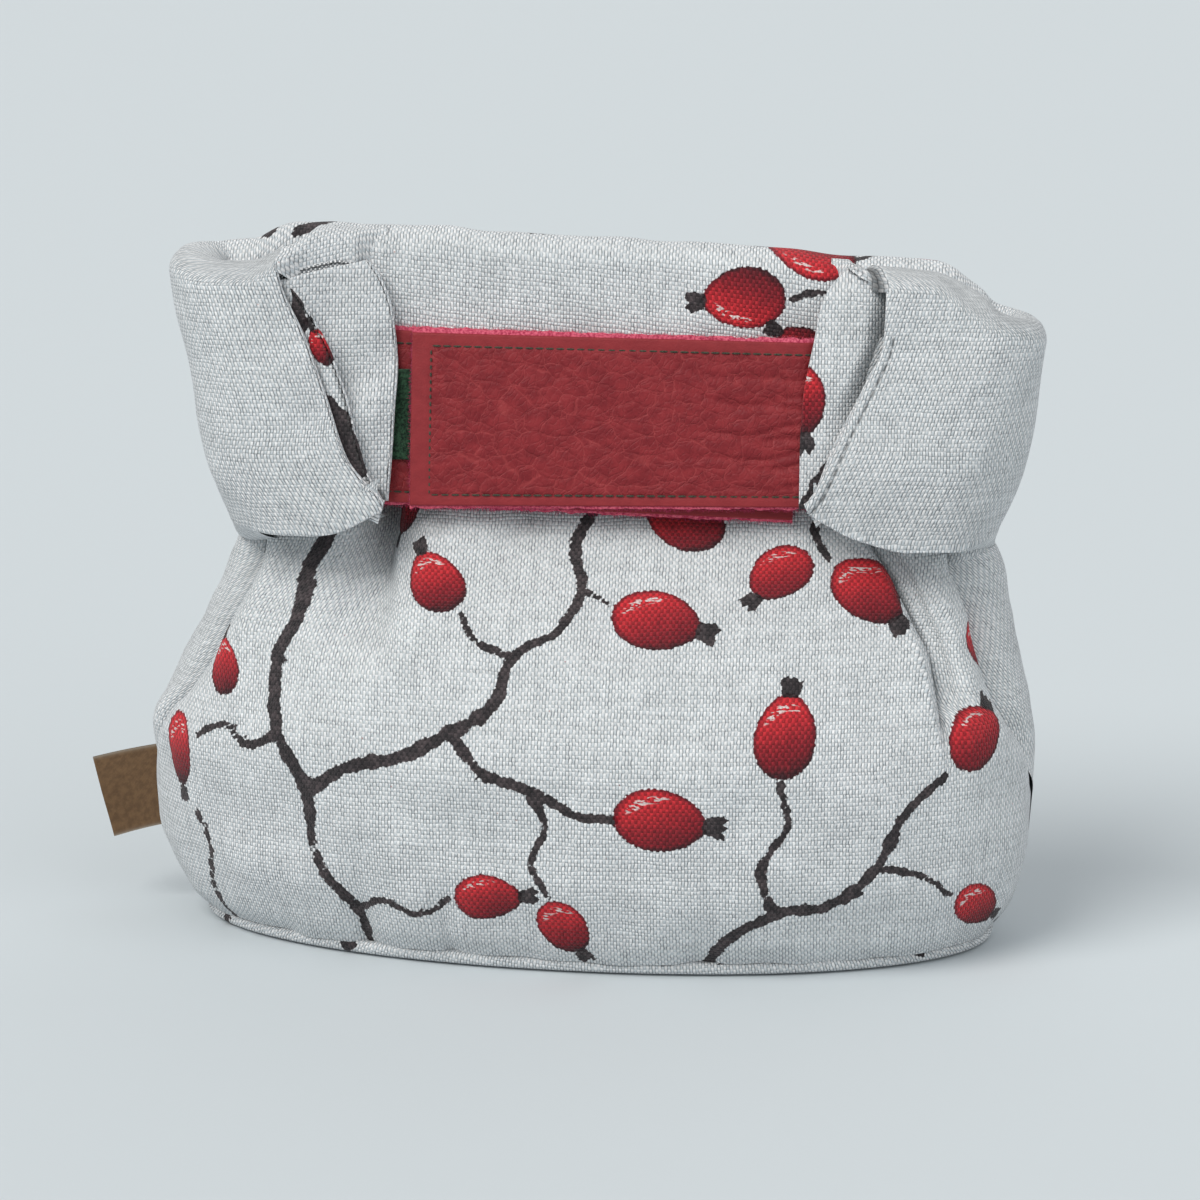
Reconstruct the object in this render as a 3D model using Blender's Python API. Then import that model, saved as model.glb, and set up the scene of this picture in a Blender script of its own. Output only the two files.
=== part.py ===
"""A linen bread bag, closed: a filled cloth pouch on a flat base, its mouth pressed flat, folded over once
and turned in at both ends, held by two leather straps that meet on the front.

Metres, +Z up, front towards -Y. The bag stands on z = 0 with the middle of its box on the Z axis.
"""

import math

import bmesh
import bpy
import numpy as np
from mathutils import Matrix

MM = 0.001

# ---- driving sizes, in millimetres ----
CLOTH = 1.8  # canvas with its turned edges
SEAM_GAP = 1.5  # between two panels' edges along a seam
SEAM_DRAW = 3.0  # how far a side seam draws the cloth in where it runs over the belly
SEAM_DRAWN = (50.0, 80.0, 112.0, 124.0)  # heights where that starts, is full, fades and ends
CONTACT = 0.45  # between pieces that lie on each other
FOLD_ROWS = 7  # rows round the top fold
LEATHER = 1.8
TAPE = 1.2

# The filled body, from the base seam up. Half widths to the left and right, depths to the front and the
# back, and how square the outline is, at each height.
BODY_COLUMNS = ("z", "left", "right", "front", "back", "square")
BODY = (
    (3.0, 122.5, 114.0, 54.5, 54.0, 2.05),
    (12.0, 130.0, 120.0, 61.0, 60.0, 2.15),
    (32.0, 137.0, 125.0, 66.5, 65.0, 2.25),
    (58.0, 138.0, 125.5, 66.5, 66.0, 2.3),
    (84.0, 126.0, 120.0, 57.0, 57.0, 2.3),
    (104.0, 115.5, 116.0, 42.5, 44.0, 2.4),
    (113.0, 111.0, 114.0, 33.5, 38.0, 2.5),
    (122.0, 107.5, 110.5, 25.0, 33.0, 2.6),
    (134.0, 104.0, 106.0, 17.0, 27.0, 2.4),
    (146.0, 100.0, 103.0, 13.0, 22.0, 2.4),
    (170.0, 98.0, 99.0, 8.0, 13.0, 2.4),
    (212.0, 98.0, 97.0, 3.0, 7.0, 2.4),
)
# The filled lower part stands turned on the band: how far it comes forward for each step to the right.
TURN, TURN_HEIGHTS = 0.05, (30.0, 112.0)

# Folds of each panel: where each runs at its upper and its lower end, the heights of those ends, how deep it
# is (negative for a ridge) and how wide to each side.
FOLD_COLUMNS = ("x_high", "x_low", "z_high", "z_low", "depth", "width")
FRONT_FOLDS = (
    (-57.0, -74.0, 138.0, 82.0, 6.5, 15.0),
    (-37.0, -50.0, 138.0, 90.0, -2.5, 18.0),
    (-84.0, -96.0, 132.0, 62.0, 2.0, 12.0),
    (22.0, 8.0, 138.0, 96.0, 1.6, 26.0),
    (52.0, 66.0, 138.0, 84.0, -2.0, 20.0),
    (-70.0, -66.0, 44.0, 4.0, 1.6, 11.0),
    (-44.0, -40.0, 36.0, 4.0, 1.4, 10.0),
)
BACK_FOLDS = (
    (-66.0, -84.0, 150.0, 58.0, 5.0, 16.0),
    (-42.0, -54.0, 150.0, 74.0, -2.5, 20.0),
    (-8.0, -2.0, 146.0, 84.0, 2.5, 24.0),
    (44.0, 50.0, 150.0, 78.0, -2.0, 18.0),
    (68.0, 84.0, 150.0, 62.0, 5.0, 15.0),
)
FOLDS_FROM_FOOT = 60.0  # folds that end below this height start at the base seam
FOLD_FADE = 14.0  # a fold ends this far above its upper end
# The tuck in the front, below the right end: the same columns, with how far the cloth behind it steps back.
TUCK = {"x_high": 72.0, "x_low": 96.0, "z_high": 134.0, "z_low": 78.0, "depth": 8.0, "width": 6.0}

# Where the side seams run, as the share of the half width reached by the seam on the front of the bag.
SEAM_COLUMNS = ("z", "left", "right")
SEAM = (
    (0.0, 1.0, 1.0),
    (44.0, 1.0, 1.0),
    (58.0, 0.99, 0.992),
    (80.0, 0.93, 0.94),
    (104.0, 0.88, 0.88),
    (126.0, 0.91, 0.80),
    (215.0, 0.91, 0.80),
)

# The folded band: reach of its rounded ends, the line of its back and of its flap, the front of the turned
# in ends, and where the outer and the inner layer of each end stop, at each height.
BAND_COLUMNS = ("z", "left", "right", "back", "flap", "ear", "tip_left", "tip_right", "in_left", "in_right")
BAND = (
    (126.0, 111.0, 114.5, 14.0, -23.0, -38.5, 58.0, 60.0, 65.0, 60.0),
    (146.0, 118.0, 121.0, 9.0, -20.0, -37.5, 62.0, 65.0, 65.0, 61.0),
    (166.0, 121.5, 125.0, 7.0, -16.5, -35.0, 71.0, 72.0, 63.0, 62.0),
    (186.0, 125.0, 127.5, 6.0, -12.5, -32.5, 82.0, 80.0, 63.0, 65.0),
    (212.0, 129.5, 129.0, 5.0, -8.5, -29.5, 93.0, 85.0, 71.0, 76.0),
)
TIP_BACK = 2.6  # how far an end's tip lies behind its front
INNER_LIFT = {-1: 7.0, 1: 10.0}  # from the flap to the inner layer of each end, which lies over a strap

# The line of the top fold, at each distance from the middle, and how far the ends' tops lie below it.
RIDGE_COLUMNS = ("x", "z")
RIDGE = (
    (-130.0, 208.5),
    (-116.0, 206.0),
    (-104.0, 206.0),
    (-88.0, 211.5),
    (-30.0, 209.0),
    (0.0, 207.5),
    (60.0, 204.0),
    (84.0, 202.5),
    (95.0, 201.5),
    (106.0, 195.5),
    (116.0, 190.0),
    (129.0, 187.5),
)
EAR_DROP = {-1: 4.0, 1: 0.0}
FLAP_FOOT = 136.0  # lower edge of the flap
EAR_FOOT = {-1: (127.5, 134.0), 1: (125.5, 135.0)}  # lower edge of an end, at its round and at its tip
BAND_START = 127.0  # lower edge of the band's back
BODY_FOOT, BODY_TOP = 4.6, 119.5  # the panels' lower edge, and the last row of the back on the filled body
BELLY_CENTRE = 60.0  # the rounded sides of the filled body bend about this distance from the middle


def smooth_table(rows, at, column):
    """The value of a column of a table at a place, on a curve without overshoot through its rows."""
    keys = np.array([row[0] for row in rows])
    values = np.array([row[column] for row in rows])
    at = float(np.clip(at, keys[0], keys[-1]))
    slopes = np.diff(values) / np.diff(keys)
    tangents = np.zeros(len(keys))
    for i in range(1, len(keys) - 1):
        if slopes[i - 1] * slopes[i] > 0:
            tangents[i] = 2 / (1 / slopes[i - 1] + 1 / slopes[i])
    tangents[0], tangents[-1] = slopes[0], slopes[-1]
    i = int(np.clip(np.searchsorted(keys, at) - 1, 0, len(keys) - 2))
    step = keys[i + 1] - keys[i]
    t = (at - keys[i]) / step
    return float(
        values[i] * (1 + 2 * t) * (1 - t) ** 2
        + tangents[i] * step * t * (1 - t) ** 2
        + values[i + 1] * t * t * (3 - 2 * t)
        + tangents[i + 1] * step * t * t * (t - 1)
    )


def ease(value, low, high):
    """0 below low, 1 above high, smooth between."""
    t = float(np.clip((value - low) / (high - low), 0.0, 1.0))
    return t * t * (3 - 2 * t)


def bump(value, middle, width):
    """1 at the middle, falling smoothly to 0 at the width to each side."""
    t = abs(value - middle) / width
    return (1 - t * t) ** 2 if t < 1 else 0.0


def body_row(z):
    return {name: smooth_table(BODY, z, i) for i, name in enumerate(BODY_COLUMNS) if i}


def band_row(z):
    return {name: smooth_table(BAND, z, i) for i, name in enumerate(BAND_COLUMNS) if i}


def resample(points, shares):
    """Points at the given shares of a line's length."""
    points = np.array(points, float)
    steps = np.linalg.norm(np.diff(points, axis=0), axis=1)
    run = np.concatenate([[0.0], np.cumsum(steps)]) / steps.sum()
    return np.stack([np.interp(shares, run, points[:, i]) for i in range(points.shape[1])], axis=1)


def body_outline(z, side, start, end, count=60):
    """A quarter or more of the body's outline at a height, on one side (-1 left, +1 right), between two
    angles in degrees: -90 is the middle of the front, 0 the side, 90 the middle of the back."""
    row = body_row(z)
    width = row["left"] if side < 0 else row["right"]
    points = []
    for angle in np.radians(np.linspace(start, end, count)):
        c, s = math.cos(angle), math.sin(angle)
        x = width * abs(c) ** (2 / row["square"])
        depth = row["back"] if s > 0 else row["front"]
        y = math.copysign(depth * abs(s) ** (2 / row["square"]), s)
        points.append((side * x, y - TURN * side * x * (1 - ease(z, *TURN_HEIGHTS))))
    return np.array(points)


def seam_angle(z, side):
    """The angle of the side seam on the body's outline."""
    row = body_row(z)
    share = smooth_table(SEAM, z, SEAM_COLUMNS.index("left" if side < 0 else "right"))
    return -math.degrees(math.acos(min(share, 1.0) ** (row["square"] / 2)))


def fold_depth(x, z, folds):
    """How far the folds of a panel draw its cloth into the bag at a place."""
    depth = 0.0
    for values in folds:
        fold = dict(zip(FOLD_COLUMNS, values))
        share = float(np.clip((z - fold["z_low"]) / (fold["z_high"] - fold["z_low"]), 0.0, 1.0))
        strength = ease(share, 0.0, 0.7) * (1 - ease(z, fold["z_high"], fold["z_high"] + FOLD_FADE))
        if fold["z_high"] < FOLDS_FROM_FOOT:
            strength = ease(1 - share, 0.0, 0.7)
        middle = fold["x_low"] + (fold["x_high"] - fold["x_low"]) * share
        depth += fold["depth"] * strength * bump(x, middle, fold["width"])
    return depth


def ridge(x):
    return smooth_table(RIDGE, x, RIDGE_COLUMNS.index("z"))


# ---- solids ----


def new_object(name, verts, faces, material):
    mesh = bpy.data.meshes.new(name)
    mesh.from_pydata([tuple(v) for v in verts], [], faces)
    mesh.validate()
    bm = bmesh.new()
    bm.from_mesh(mesh)
    bmesh.ops.recalc_face_normals(bm, faces=bm.faces)
    bm.to_mesh(mesh)
    bm.free()
    obj = bpy.data.objects.new(name, mesh)
    bpy.context.collection.objects.link(obj)
    mesh.materials.append(material)
    mesh.shade_smooth()
    mesh.set_sharp_from_angle(angle=math.radians(50))
    return obj


def cloth_solid(name, grid, thickness, material, kept=None):
    """A closed sheet of even thickness on a grid of points, in millimetres. kept says which cells of the
    grid are cloth."""
    grid = np.asarray(grid, float)
    rows, columns, _ = grid.shape
    if kept is None:
        kept = np.ones((rows - 1, columns - 1), bool)
    normal = grid_normals(grid, kept)
    outside = grid + normal * thickness / 2
    inside = grid - normal * thickness / 2
    verts = np.concatenate([outside.reshape(-1, 3), inside.reshape(-1, 3)]) * MM
    faces = []
    borders = {}
    for i, j in zip(*np.nonzero(kept)):
        quad = [(i, j), (i, j + 1), (i + 1, j + 1), (i + 1, j)]
        corners = [a * columns + b for a, b in quad]
        # Both sides are cut along the cell's shorter diagonal, so that a twisted cell stays thick.
        first = np.linalg.norm(grid[i, j] - grid[i + 1, j + 1])
        second = np.linalg.norm(grid[i, j + 1] - grid[i + 1, j])
        a, b, c, d = corners[1:] + corners[:1] if first > second else corners
        for triangle in ((a, b, c), (a, c, d)):
            faces.append(triangle)
            faces.append([v + rows * columns for v in reversed(triangle)])
        for start, end in zip(corners, corners[1:] + corners[:1]):
            if (end, start) in borders:
                del borders[end, start]
            else:
                borders[start, end] = True
    for start, end in borders:
        faces.append([start, start + rows * columns, end + rows * columns, end])
    return new_object(name, verts, faces, material)


def grid_normals(grid, kept):
    """Unit normals at a grid's points, from the cells that are kept."""
    normal = np.zeros_like(grid)
    for i, j in zip(*np.nonzero(kept)):
        a, b, c, d = grid[i, j], grid[i, j + 1], grid[i + 1, j + 1], grid[i + 1, j]
        face = np.cross(c - a, d - b)
        face /= max(np.linalg.norm(face), 1e-9)
        for corner in ((i, j), (i, j + 1), (i + 1, j + 1), (i + 1, j)):
            normal[corner] += face
    length = np.linalg.norm(normal, axis=2, keepdims=True)
    return normal / np.maximum(length, 1e-9)


# ---- the back panel ----

# Columns on one side: along the back, round the end, along its front. The side seam of the filled body
# meets the end at the column EAR_START, and the cloth past it is the front of the turned in end.
BACK_STRAIGHT, BACK_ROUND, BACK_EAR = 9, 9, 6
EAR_START = BACK_STRAIGHT + 7
BACK_COUNT = BACK_STRAIGHT + BACK_ROUND + BACK_EAR + 1
LEDGE_SAG = np.array([0.0, 1.0, 0.8])
BACK_BODY_ROWS = (BODY_FOOT, 12, 22, 34, 48, 62, 76, 89, 100, 110, BODY_TOP)


def seam_pull(z, side):
    """How the side seam draws the cloth of both panels in, in plan."""
    point = body_outline(z, side, seam_angle(z, side), seam_angle(z, side), 1)[0]
    inward = np.array([side * BELLY_CENTRE, 0.0]) - point
    start, full, fade, end = SEAM_DRAWN
    depth = SEAM_DRAW * ease(z, start, full) * (1 - ease(z, fade, end))
    return inward / np.linalg.norm(inward) * depth


def drawn_to_seam(points, z, side):
    """A panel's row bent in at the seam, where it ends, with half the seam's gap left."""
    inward = seam_pull(z, side)
    count = len(points) - 1
    for i in range(count + 1):
        points[i] += inward * ease(i / count, 0.86, 1.0)
        points[i] -= inward * 0.5 * bump(i / count, 0.84, 0.12)
    last = points[-1] - points[-2]
    points[-1] -= last / np.linalg.norm(last) * SEAM_GAP / 2
    return points


def back_body_half(z, side):
    """One half of the back panel's row on the filled body, from the middle to the side seam."""
    shares = np.concatenate([
        np.linspace(0.0, 0.5, BACK_STRAIGHT + 1),
        np.linspace(0.5, 1.0, EAR_START - BACK_STRAIGHT + 1)[1:],
    ])
    points = resample(body_outline(z, side, 90.0, seam_angle(z, side), 90), shares)
    for i in range(BACK_STRAIGHT + 1):
        points[i, 1] -= fold_depth(points[i, 0], z, BACK_FOLDS)
    points = drawn_to_seam(points, z, side)
    rest = np.repeat(points[-1:], BACK_COUNT - len(points), axis=0)
    points = np.concatenate([points, rest])
    return np.column_stack([points, np.full(len(points), z)])


def band_half(z, side, layer):
    """One half of the folded band at a height, in plan, from the middle to the end's tip.
    layer 0 is the outer layer, down the bag's back, and 1 the inner one, the flap."""
    row = band_row(z)
    name = "left" if side < 0 else "right"
    outer_radius = (row["back"] - row["ear"]) / 2
    centre = np.array([row[name] - outer_radius, row["back"] - outer_radius])
    middle_y, edge_y = smooth_table(BODY, z, BODY_COLUMNS.index("back")), row["back"]
    radius, tip, tip_y = outer_radius, row["tip_" + name], row["ear"] + TIP_BACK
    if layer == 1:
        middle_y, edge_y = row["flap"], row["flap"] + 0.5
        tip, tip_y = row["in_" + name], row["flap"] - INNER_LIFT[side]
        radius = (row["flap"] - tip_y) / 2 + 0.5
        centre = np.array([centre[0] + 2.0, edge_y - radius])
    points = []
    for t in np.linspace(0.0, 1.0, BACK_STRAIGHT + 1):
        x = side * centre[0] * t
        fold = fold_depth(x, z, BACK_FOLDS) if layer == 0 else 0.0
        points.append((x, middle_y + (edge_y - middle_y) * t**3 - fold))
    for t in np.linspace(0.0, 1.0, BACK_ROUND + 1)[1:]:
        angle = math.pi / 2 - math.pi * t
        points.append((side * (centre[0] + radius * math.cos(angle)), centre[1] + radius * math.sin(angle)))
    front_y = centre[1] - radius
    for t in np.linspace(0.0, 1.0, BACK_EAR + 1)[1:]:
        x = centre[0] + (tip - centre[0]) * t
        points.append((side * x, front_y + (tip_y - front_y) * t * t))
    return np.array(points)


def ear_progress(column):
    """0 along the back, rising to 1 at the front of the turned in end."""
    return ease(column, BACK_STRAIGHT, BACK_STRAIGHT + BACK_ROUND)


def fold_radius(column):
    return 7.0 - 1.5 * ear_progress(column)


def band_rows(side, layer, steps):
    """A half's rows in the band, from its lower edge, step 0, up to where the top fold begins, step 1."""
    rows = []
    reach = band_half(196.0, side, 0)[:, 0]
    for step in steps:
        row = []
        for column in range(BACK_COUNT):
            out = ear_progress(column)
            tip = max(0.0, (column - BACK_STRAIGHT - BACK_ROUND) / BACK_EAR)
            foot = EAR_FOOT[side][0] + (EAR_FOOT[side][1] - EAR_FOOT[side][0]) * tip**1.4
            foot = BAND_START + (foot - BAND_START) * out if layer == 0 else FLAP_FOOT + 1.5 * tip
            top = ridge(reach[column]) - EAR_DROP[side] * out - fold_radius(column)
            z = foot + (top - foot) * step
            row.append([*band_half(z, side, layer)[column], z])
        rows.append(row)
    return np.array(rows)


def back_half(side):
    """All rows of one half of the back panel, from the base seam up the back, over the top fold and down
    the flap. Columns run from the middle to the side."""
    body = np.array([back_body_half(z, side) for z in BACK_BODY_ROWS])
    outer = band_rows(side, 0, (0.0, 0.16, 0.36, 0.56, 0.76, 0.9, 1.0))
    flap = band_rows(side, 1, (1.0, 0.85, 0.62, 0.38, 0.16, 0.0))
    # The body's cloth runs forward to the turned in end in a soft ledge.
    ledge = []
    for t in (0.35, 0.75):
        sag = LEDGE_SAG * math.sin(math.pi * t)
        ledge.append(outer[0] * t + body[-1] * (1 - t) - sag)
    # The top fold is half a turn between the two layers.
    fold = []
    lift = np.array([fold_radius(column) for column in range(BACK_COUNT)])
    for turn in np.linspace(0.0, math.pi, FOLD_ROWS + 2)[1:-1]:
        row = (outer[-1] + flap[0]) / 2 + (outer[-1] - flap[0]) / 2 * math.cos(turn)
        row[:, 2] += lift * math.sin(turn)
        fold.append(row)
    return np.array([*body, *ledge, *outer, *fold, *flap])


def back_panel(material):
    left, right = back_half(-1), back_half(1)
    grid = np.concatenate([left[:, ::-1], right[:, 1:]], axis=1)
    kept = np.ones((grid.shape[0] - 1, grid.shape[1] - 1), bool)
    past_seam = BACK_COUNT - 1 - EAR_START
    kept[: len(BACK_BODY_ROWS) + 2, :past_seam] = False
    kept[: len(BACK_BODY_ROWS) + 2, -past_seam:] = False
    return cloth_solid("back_panel", grid, CLOTH, material, kept)


# ---- the front panel ----

FRONT_COLUMNS = 23  # on each side of the middle
FRONT_ROWS = (BODY_FOOT, 12, 22, 34, 48, 62, 74, 84, 92, 100,
              107, 114, 121, 127, 133, 140, 150, 165, 180, 194)


def front_half(z, side):
    end = seam_angle(z, side)
    outline = body_outline(z, side, -90.0, end, 90)
    points = resample(outline, np.linspace(0.0, 1.0, FRONT_COLUMNS + 1))
    for i, (x, y) in enumerate(points):
        points[i, 1] += fold_depth(x, z, FRONT_FOLDS) * (1 - ease(i / FRONT_COLUMNS, 0.9, 1.0))
        if side > 0:
            points[i, 1] += tuck_step(x, z, i / FRONT_COLUMNS)
    points = drawn_to_seam(points, z, side)
    return np.column_stack([points, np.full(len(points), z)])


def tuck_step(x, z, share):
    """How far the cloth behind the tuck lies back, and how the edge of the tuck stands out."""
    run = float(np.clip((z - TUCK["z_low"]) / (TUCK["z_high"] - TUCK["z_low"]), 0.0, 1.0))
    edge = TUCK["x_low"] + (TUCK["x_high"] - TUCK["x_low"]) * run
    strength = ease(run, 0.0, 0.45) * (1 - ease(z, TUCK["z_high"], TUCK["z_high"] + FOLD_FADE))
    back = ease(x, edge - TUCK["width"] / 3, edge + TUCK["width"]) * (1 - ease(share, 0.9, 1.0))
    return strength * (TUCK["depth"] * back - 2.0 * bump(x, edge - 8.0, 12.0))


def front_panel(material):
    rows = []
    for z in FRONT_ROWS:
        left, right = front_half(z, -1), front_half(z, 1)
        rows.append(np.concatenate([left[::-1], right[1:]]))
    return cloth_solid("front_panel", rows, CLOTH, material)


# ---- the base ----

BASE_AROUND = 60
# The base's section at its edge: distance in from the seam's line, and height.
BASE_SECTION = (
    (6.0, 0.0),
    (1.5, 0.4),
    (-0.2, 1.3),
    (-0.7, 2.4),
    (-0.6, 3.6),
    (1.0, 3.6),
    (1.3, 2.9),
    (2.8, 2.1),
    (6.0, 1.8),
)


def base_panel(material):
    """A flat oval of cloth whose edge turns up to the seam."""
    outline = []
    for k in range(BASE_AROUND):
        angle = 360.0 * k / BASE_AROUND - 90.0
        side, angle = (1, angle) if angle < 90.0 else (-1, 180.0 - angle)
        outline.append(body_outline(BODY_FOOT, side, angle, angle, 1)[0])
    outline = np.array(outline)
    tangent = np.roll(outline, -1, axis=0) - np.roll(outline, 1, axis=0)
    inward = np.column_stack([-tangent[:, 1], tangent[:, 0]]) / np.linalg.norm(tangent, axis=1, keepdims=True)
    verts, faces = [], []
    for inset, z in BASE_SECTION:
        verts.extend([*point, z] for point in outline + inward * inset)
    for ring in range(len(BASE_SECTION) - 1):
        for k in range(BASE_AROUND):
            a, b = ring * BASE_AROUND + k, ring * BASE_AROUND + (k + 1) % BASE_AROUND
            faces.append([a, b, b + BASE_AROUND, a + BASE_AROUND])
    last = (len(BASE_SECTION) - 1) * BASE_AROUND
    faces.append(list(range(BASE_AROUND))[::-1])
    faces.append([last + k for k in range(BASE_AROUND)])
    return new_object("base_panel", np.array(verts) * MM, faces, material)


# ---- the straps and their tapes ----

# Each strip's left and right end, and its lower and upper edge at those two ends. The straps' outer ends
# are sewn down inside the turned in ends of the bag, and their inner ends are free.
STRIP_COLUMNS = ("x_left", "x_right", "low_left", "high_left", "low_right", "high_right")
STRIPS = {
    "strap_left": (-84.0, 55.0, 133.5, 183.0, 129.5, 179.0),
    "strap_right": (-56.0, 84.0, 133.0, 182.5, 134.5, 180.5),
    "loop_tape": (-72.0, 48.0, 145.5, 171.5, 145.5, 171.5),
    "hook_tape": (-49.0, 40.0, 145.5, 171.5, 145.5, 171.5),
}
LIFT_END = (1.5, 17.0)  # past the left strap's end, where the right strap starts to come down, and is down
LIFT_LEFT = CLOTH / 2 + CONTACT + LEATHER / 2
LIFT_LOOP = LIFT_LEFT + LEATHER / 2 + CONTACT + TAPE / 2
LIFT_HOOK = LIFT_LOOP + TAPE + CONTACT
LIFT_RIGHT = LIFT_HOOK + TAPE / 2 + CONTACT + LEATHER / 2
STRAP_COLUMNS, STRAP_ROWS = 17, 6


def flap_line(z):
    return smooth_table(BAND, z, BAND_COLUMNS.index("flap"))


def right_strap_lift(x):
    """The right strap lies on both tapes, and comes down to the flap past the left strap's end."""
    end = STRIPS["strap_left"][STRIP_COLUMNS.index("x_right")]
    return LIFT_LEFT + (LIFT_RIGHT - LIFT_LEFT) * (1 - ease(x, end + LIFT_END[0], end + LIFT_END[1]))


def flap_strip(name, lift, thickness, material):
    """A strip lying along the flap, at a height over the flap's middle surface that varies with x."""
    size = dict(zip(STRIP_COLUMNS, STRIPS[name]))
    grid = []
    for v in np.linspace(0.0, 1.0, STRAP_ROWS):
        row = []
        for u in np.linspace(0.0, 1.0, STRAP_COLUMNS):
            x = size["x_left"] + (size["x_right"] - size["x_left"]) * u
            low = size["low_left"] + (size["low_right"] - size["low_left"]) * u
            high = size["high_left"] + (size["high_right"] - size["high_left"]) * u
            z = low + (high - low) * v
            row.append((x, flap_line(z) - lift(x), z))
        grid.append(row)
    return cloth_solid(name, grid, thickness, material)


def straps(leather, loop, hook):
    flap_strip("strap_left", lambda x: LIFT_LEFT, LEATHER, leather)
    flap_strip("strap_right", right_strap_lift, LEATHER, leather)
    flap_strip("loop_tape", lambda x: LIFT_LOOP, TAPE, loop)
    flap_strip("hook_tape", lambda x: LIFT_HOOK, TAPE, hook)


# ---- the label ----

LABEL_HEIGHT, LABEL_REACH, LABEL_THICKNESS = 25.0, 20.0, 1.4
LABEL_FOOT = 25.5  # its lower corner at the seam
LABEL_TILT = 14.0  # how far it droops, in degrees
LABEL_BOW = 1.2
LABEL_STEPS = 6


def label(material):
    """A bare folded tab held in the left side seam."""
    drop = math.sin(math.radians(LABEL_TILT))
    far = -body_row(LABEL_FOOT + LABEL_HEIGHT / 2)["left"] - LABEL_REACH
    grid = []
    for v in np.linspace(0.0, 1.0, LABEL_STEPS):
        row = []
        for u in np.linspace(0.0, 1.0, LABEL_STEPS):
            z_seam = LABEL_FOOT + LABEL_HEIGHT * v
            x_seam = -(body_row(z_seam)["left"] + CLOTH / 2 + CONTACT)
            x_end = far + LABEL_HEIGHT * (0.5 - v) * drop
            x = x_seam + (x_end - x_seam) * u
            y = -TURN * x_seam + LABEL_BOW * math.sin(math.pi * u)
            row.append((x, y, z_seam - LABEL_REACH * u * drop))
        grid.append(row)
    return cloth_solid("label", grid, LABEL_THICKNESS, material)


# ---- the whole bag ----


def plain_material(name, colour, roughness):
    material = bpy.data.materials.new(name)
    material.use_nodes = True
    shader = material.node_tree.nodes["Principled BSDF"]
    shader.inputs["Base Color"].default_value = (*colour, 1.0)
    shader.inputs["Roughness"].default_value = roughness
    shader.inputs["Metallic"].default_value = 0.0
    return material


def centre_on_axis():
    """Moves the bag so that the middle of its box lies on the Z axis."""
    places = np.array([v.co for obj in bpy.data.objects for v in obj.data.vertices])
    middle = (places.min(axis=0) + places.max(axis=0)) / 2
    for obj in bpy.data.objects:
        obj.data.transform(Matrix.Translation((-middle[0], -middle[1], 0.0)))


def main():
    for obj in list(bpy.data.objects):
        bpy.data.objects.remove(obj, do_unlink=True)
    canvas = plain_material("canvas", (0.60, 0.62, 0.61), 0.9)
    leather = plain_material("red leather", (0.30, 0.025, 0.035), 0.55)
    loop = plain_material("green tape", (0.02, 0.05, 0.025), 0.95)
    hook = plain_material("dark tape", (0.02, 0.02, 0.02), 0.8)
    tab = plain_material("brown label", (0.13, 0.06, 0.02), 0.7)
    back_panel(canvas)
    front_panel(canvas)
    base_panel(canvas)
    straps(leather, loop, hook)
    label(tab)
    centre_on_axis()


main()
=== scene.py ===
"""Looks of a closed linen bread bag: printed canvas, two leather straps with their tapes, a bare tab.

The shapes follow the part's own solids. Sizes are in millimetres in the part's drawing frame, where x = 0 is
the middle of the folded mouth; place() turns them into metres in the shared frame.
"""

import math

import bmesh
import bpy
import numpy as np
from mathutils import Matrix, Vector


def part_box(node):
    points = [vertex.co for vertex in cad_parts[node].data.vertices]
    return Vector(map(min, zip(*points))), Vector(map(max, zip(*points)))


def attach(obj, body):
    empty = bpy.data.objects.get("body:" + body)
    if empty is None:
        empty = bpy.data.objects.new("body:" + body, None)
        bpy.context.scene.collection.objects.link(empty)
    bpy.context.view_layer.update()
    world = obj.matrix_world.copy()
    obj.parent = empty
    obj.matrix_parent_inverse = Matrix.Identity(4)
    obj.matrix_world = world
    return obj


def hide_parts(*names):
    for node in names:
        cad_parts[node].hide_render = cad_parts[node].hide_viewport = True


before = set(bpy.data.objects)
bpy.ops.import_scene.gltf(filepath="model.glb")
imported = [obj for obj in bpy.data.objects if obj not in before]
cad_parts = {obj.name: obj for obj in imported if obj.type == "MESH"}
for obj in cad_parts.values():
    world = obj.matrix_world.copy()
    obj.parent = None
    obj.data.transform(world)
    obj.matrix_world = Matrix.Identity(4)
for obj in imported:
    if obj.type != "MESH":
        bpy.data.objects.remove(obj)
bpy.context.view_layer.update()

MM = 0.001

# ---- sizes that the cloth shares with the solids ----

CLOTH, LEATHER, TAPE = 1.8, 1.8, 1.2  # thicknesses
CONTACT = 0.45  # left between layers that lie on each other
# How far the side seams are drawn in, and the heights where that starts, is full, starts to fade and ends.
SEAM_DRAW = 3.0
SEAM_DRAWN = (50.0, 80.0, 112.0, 124.0)

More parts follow.
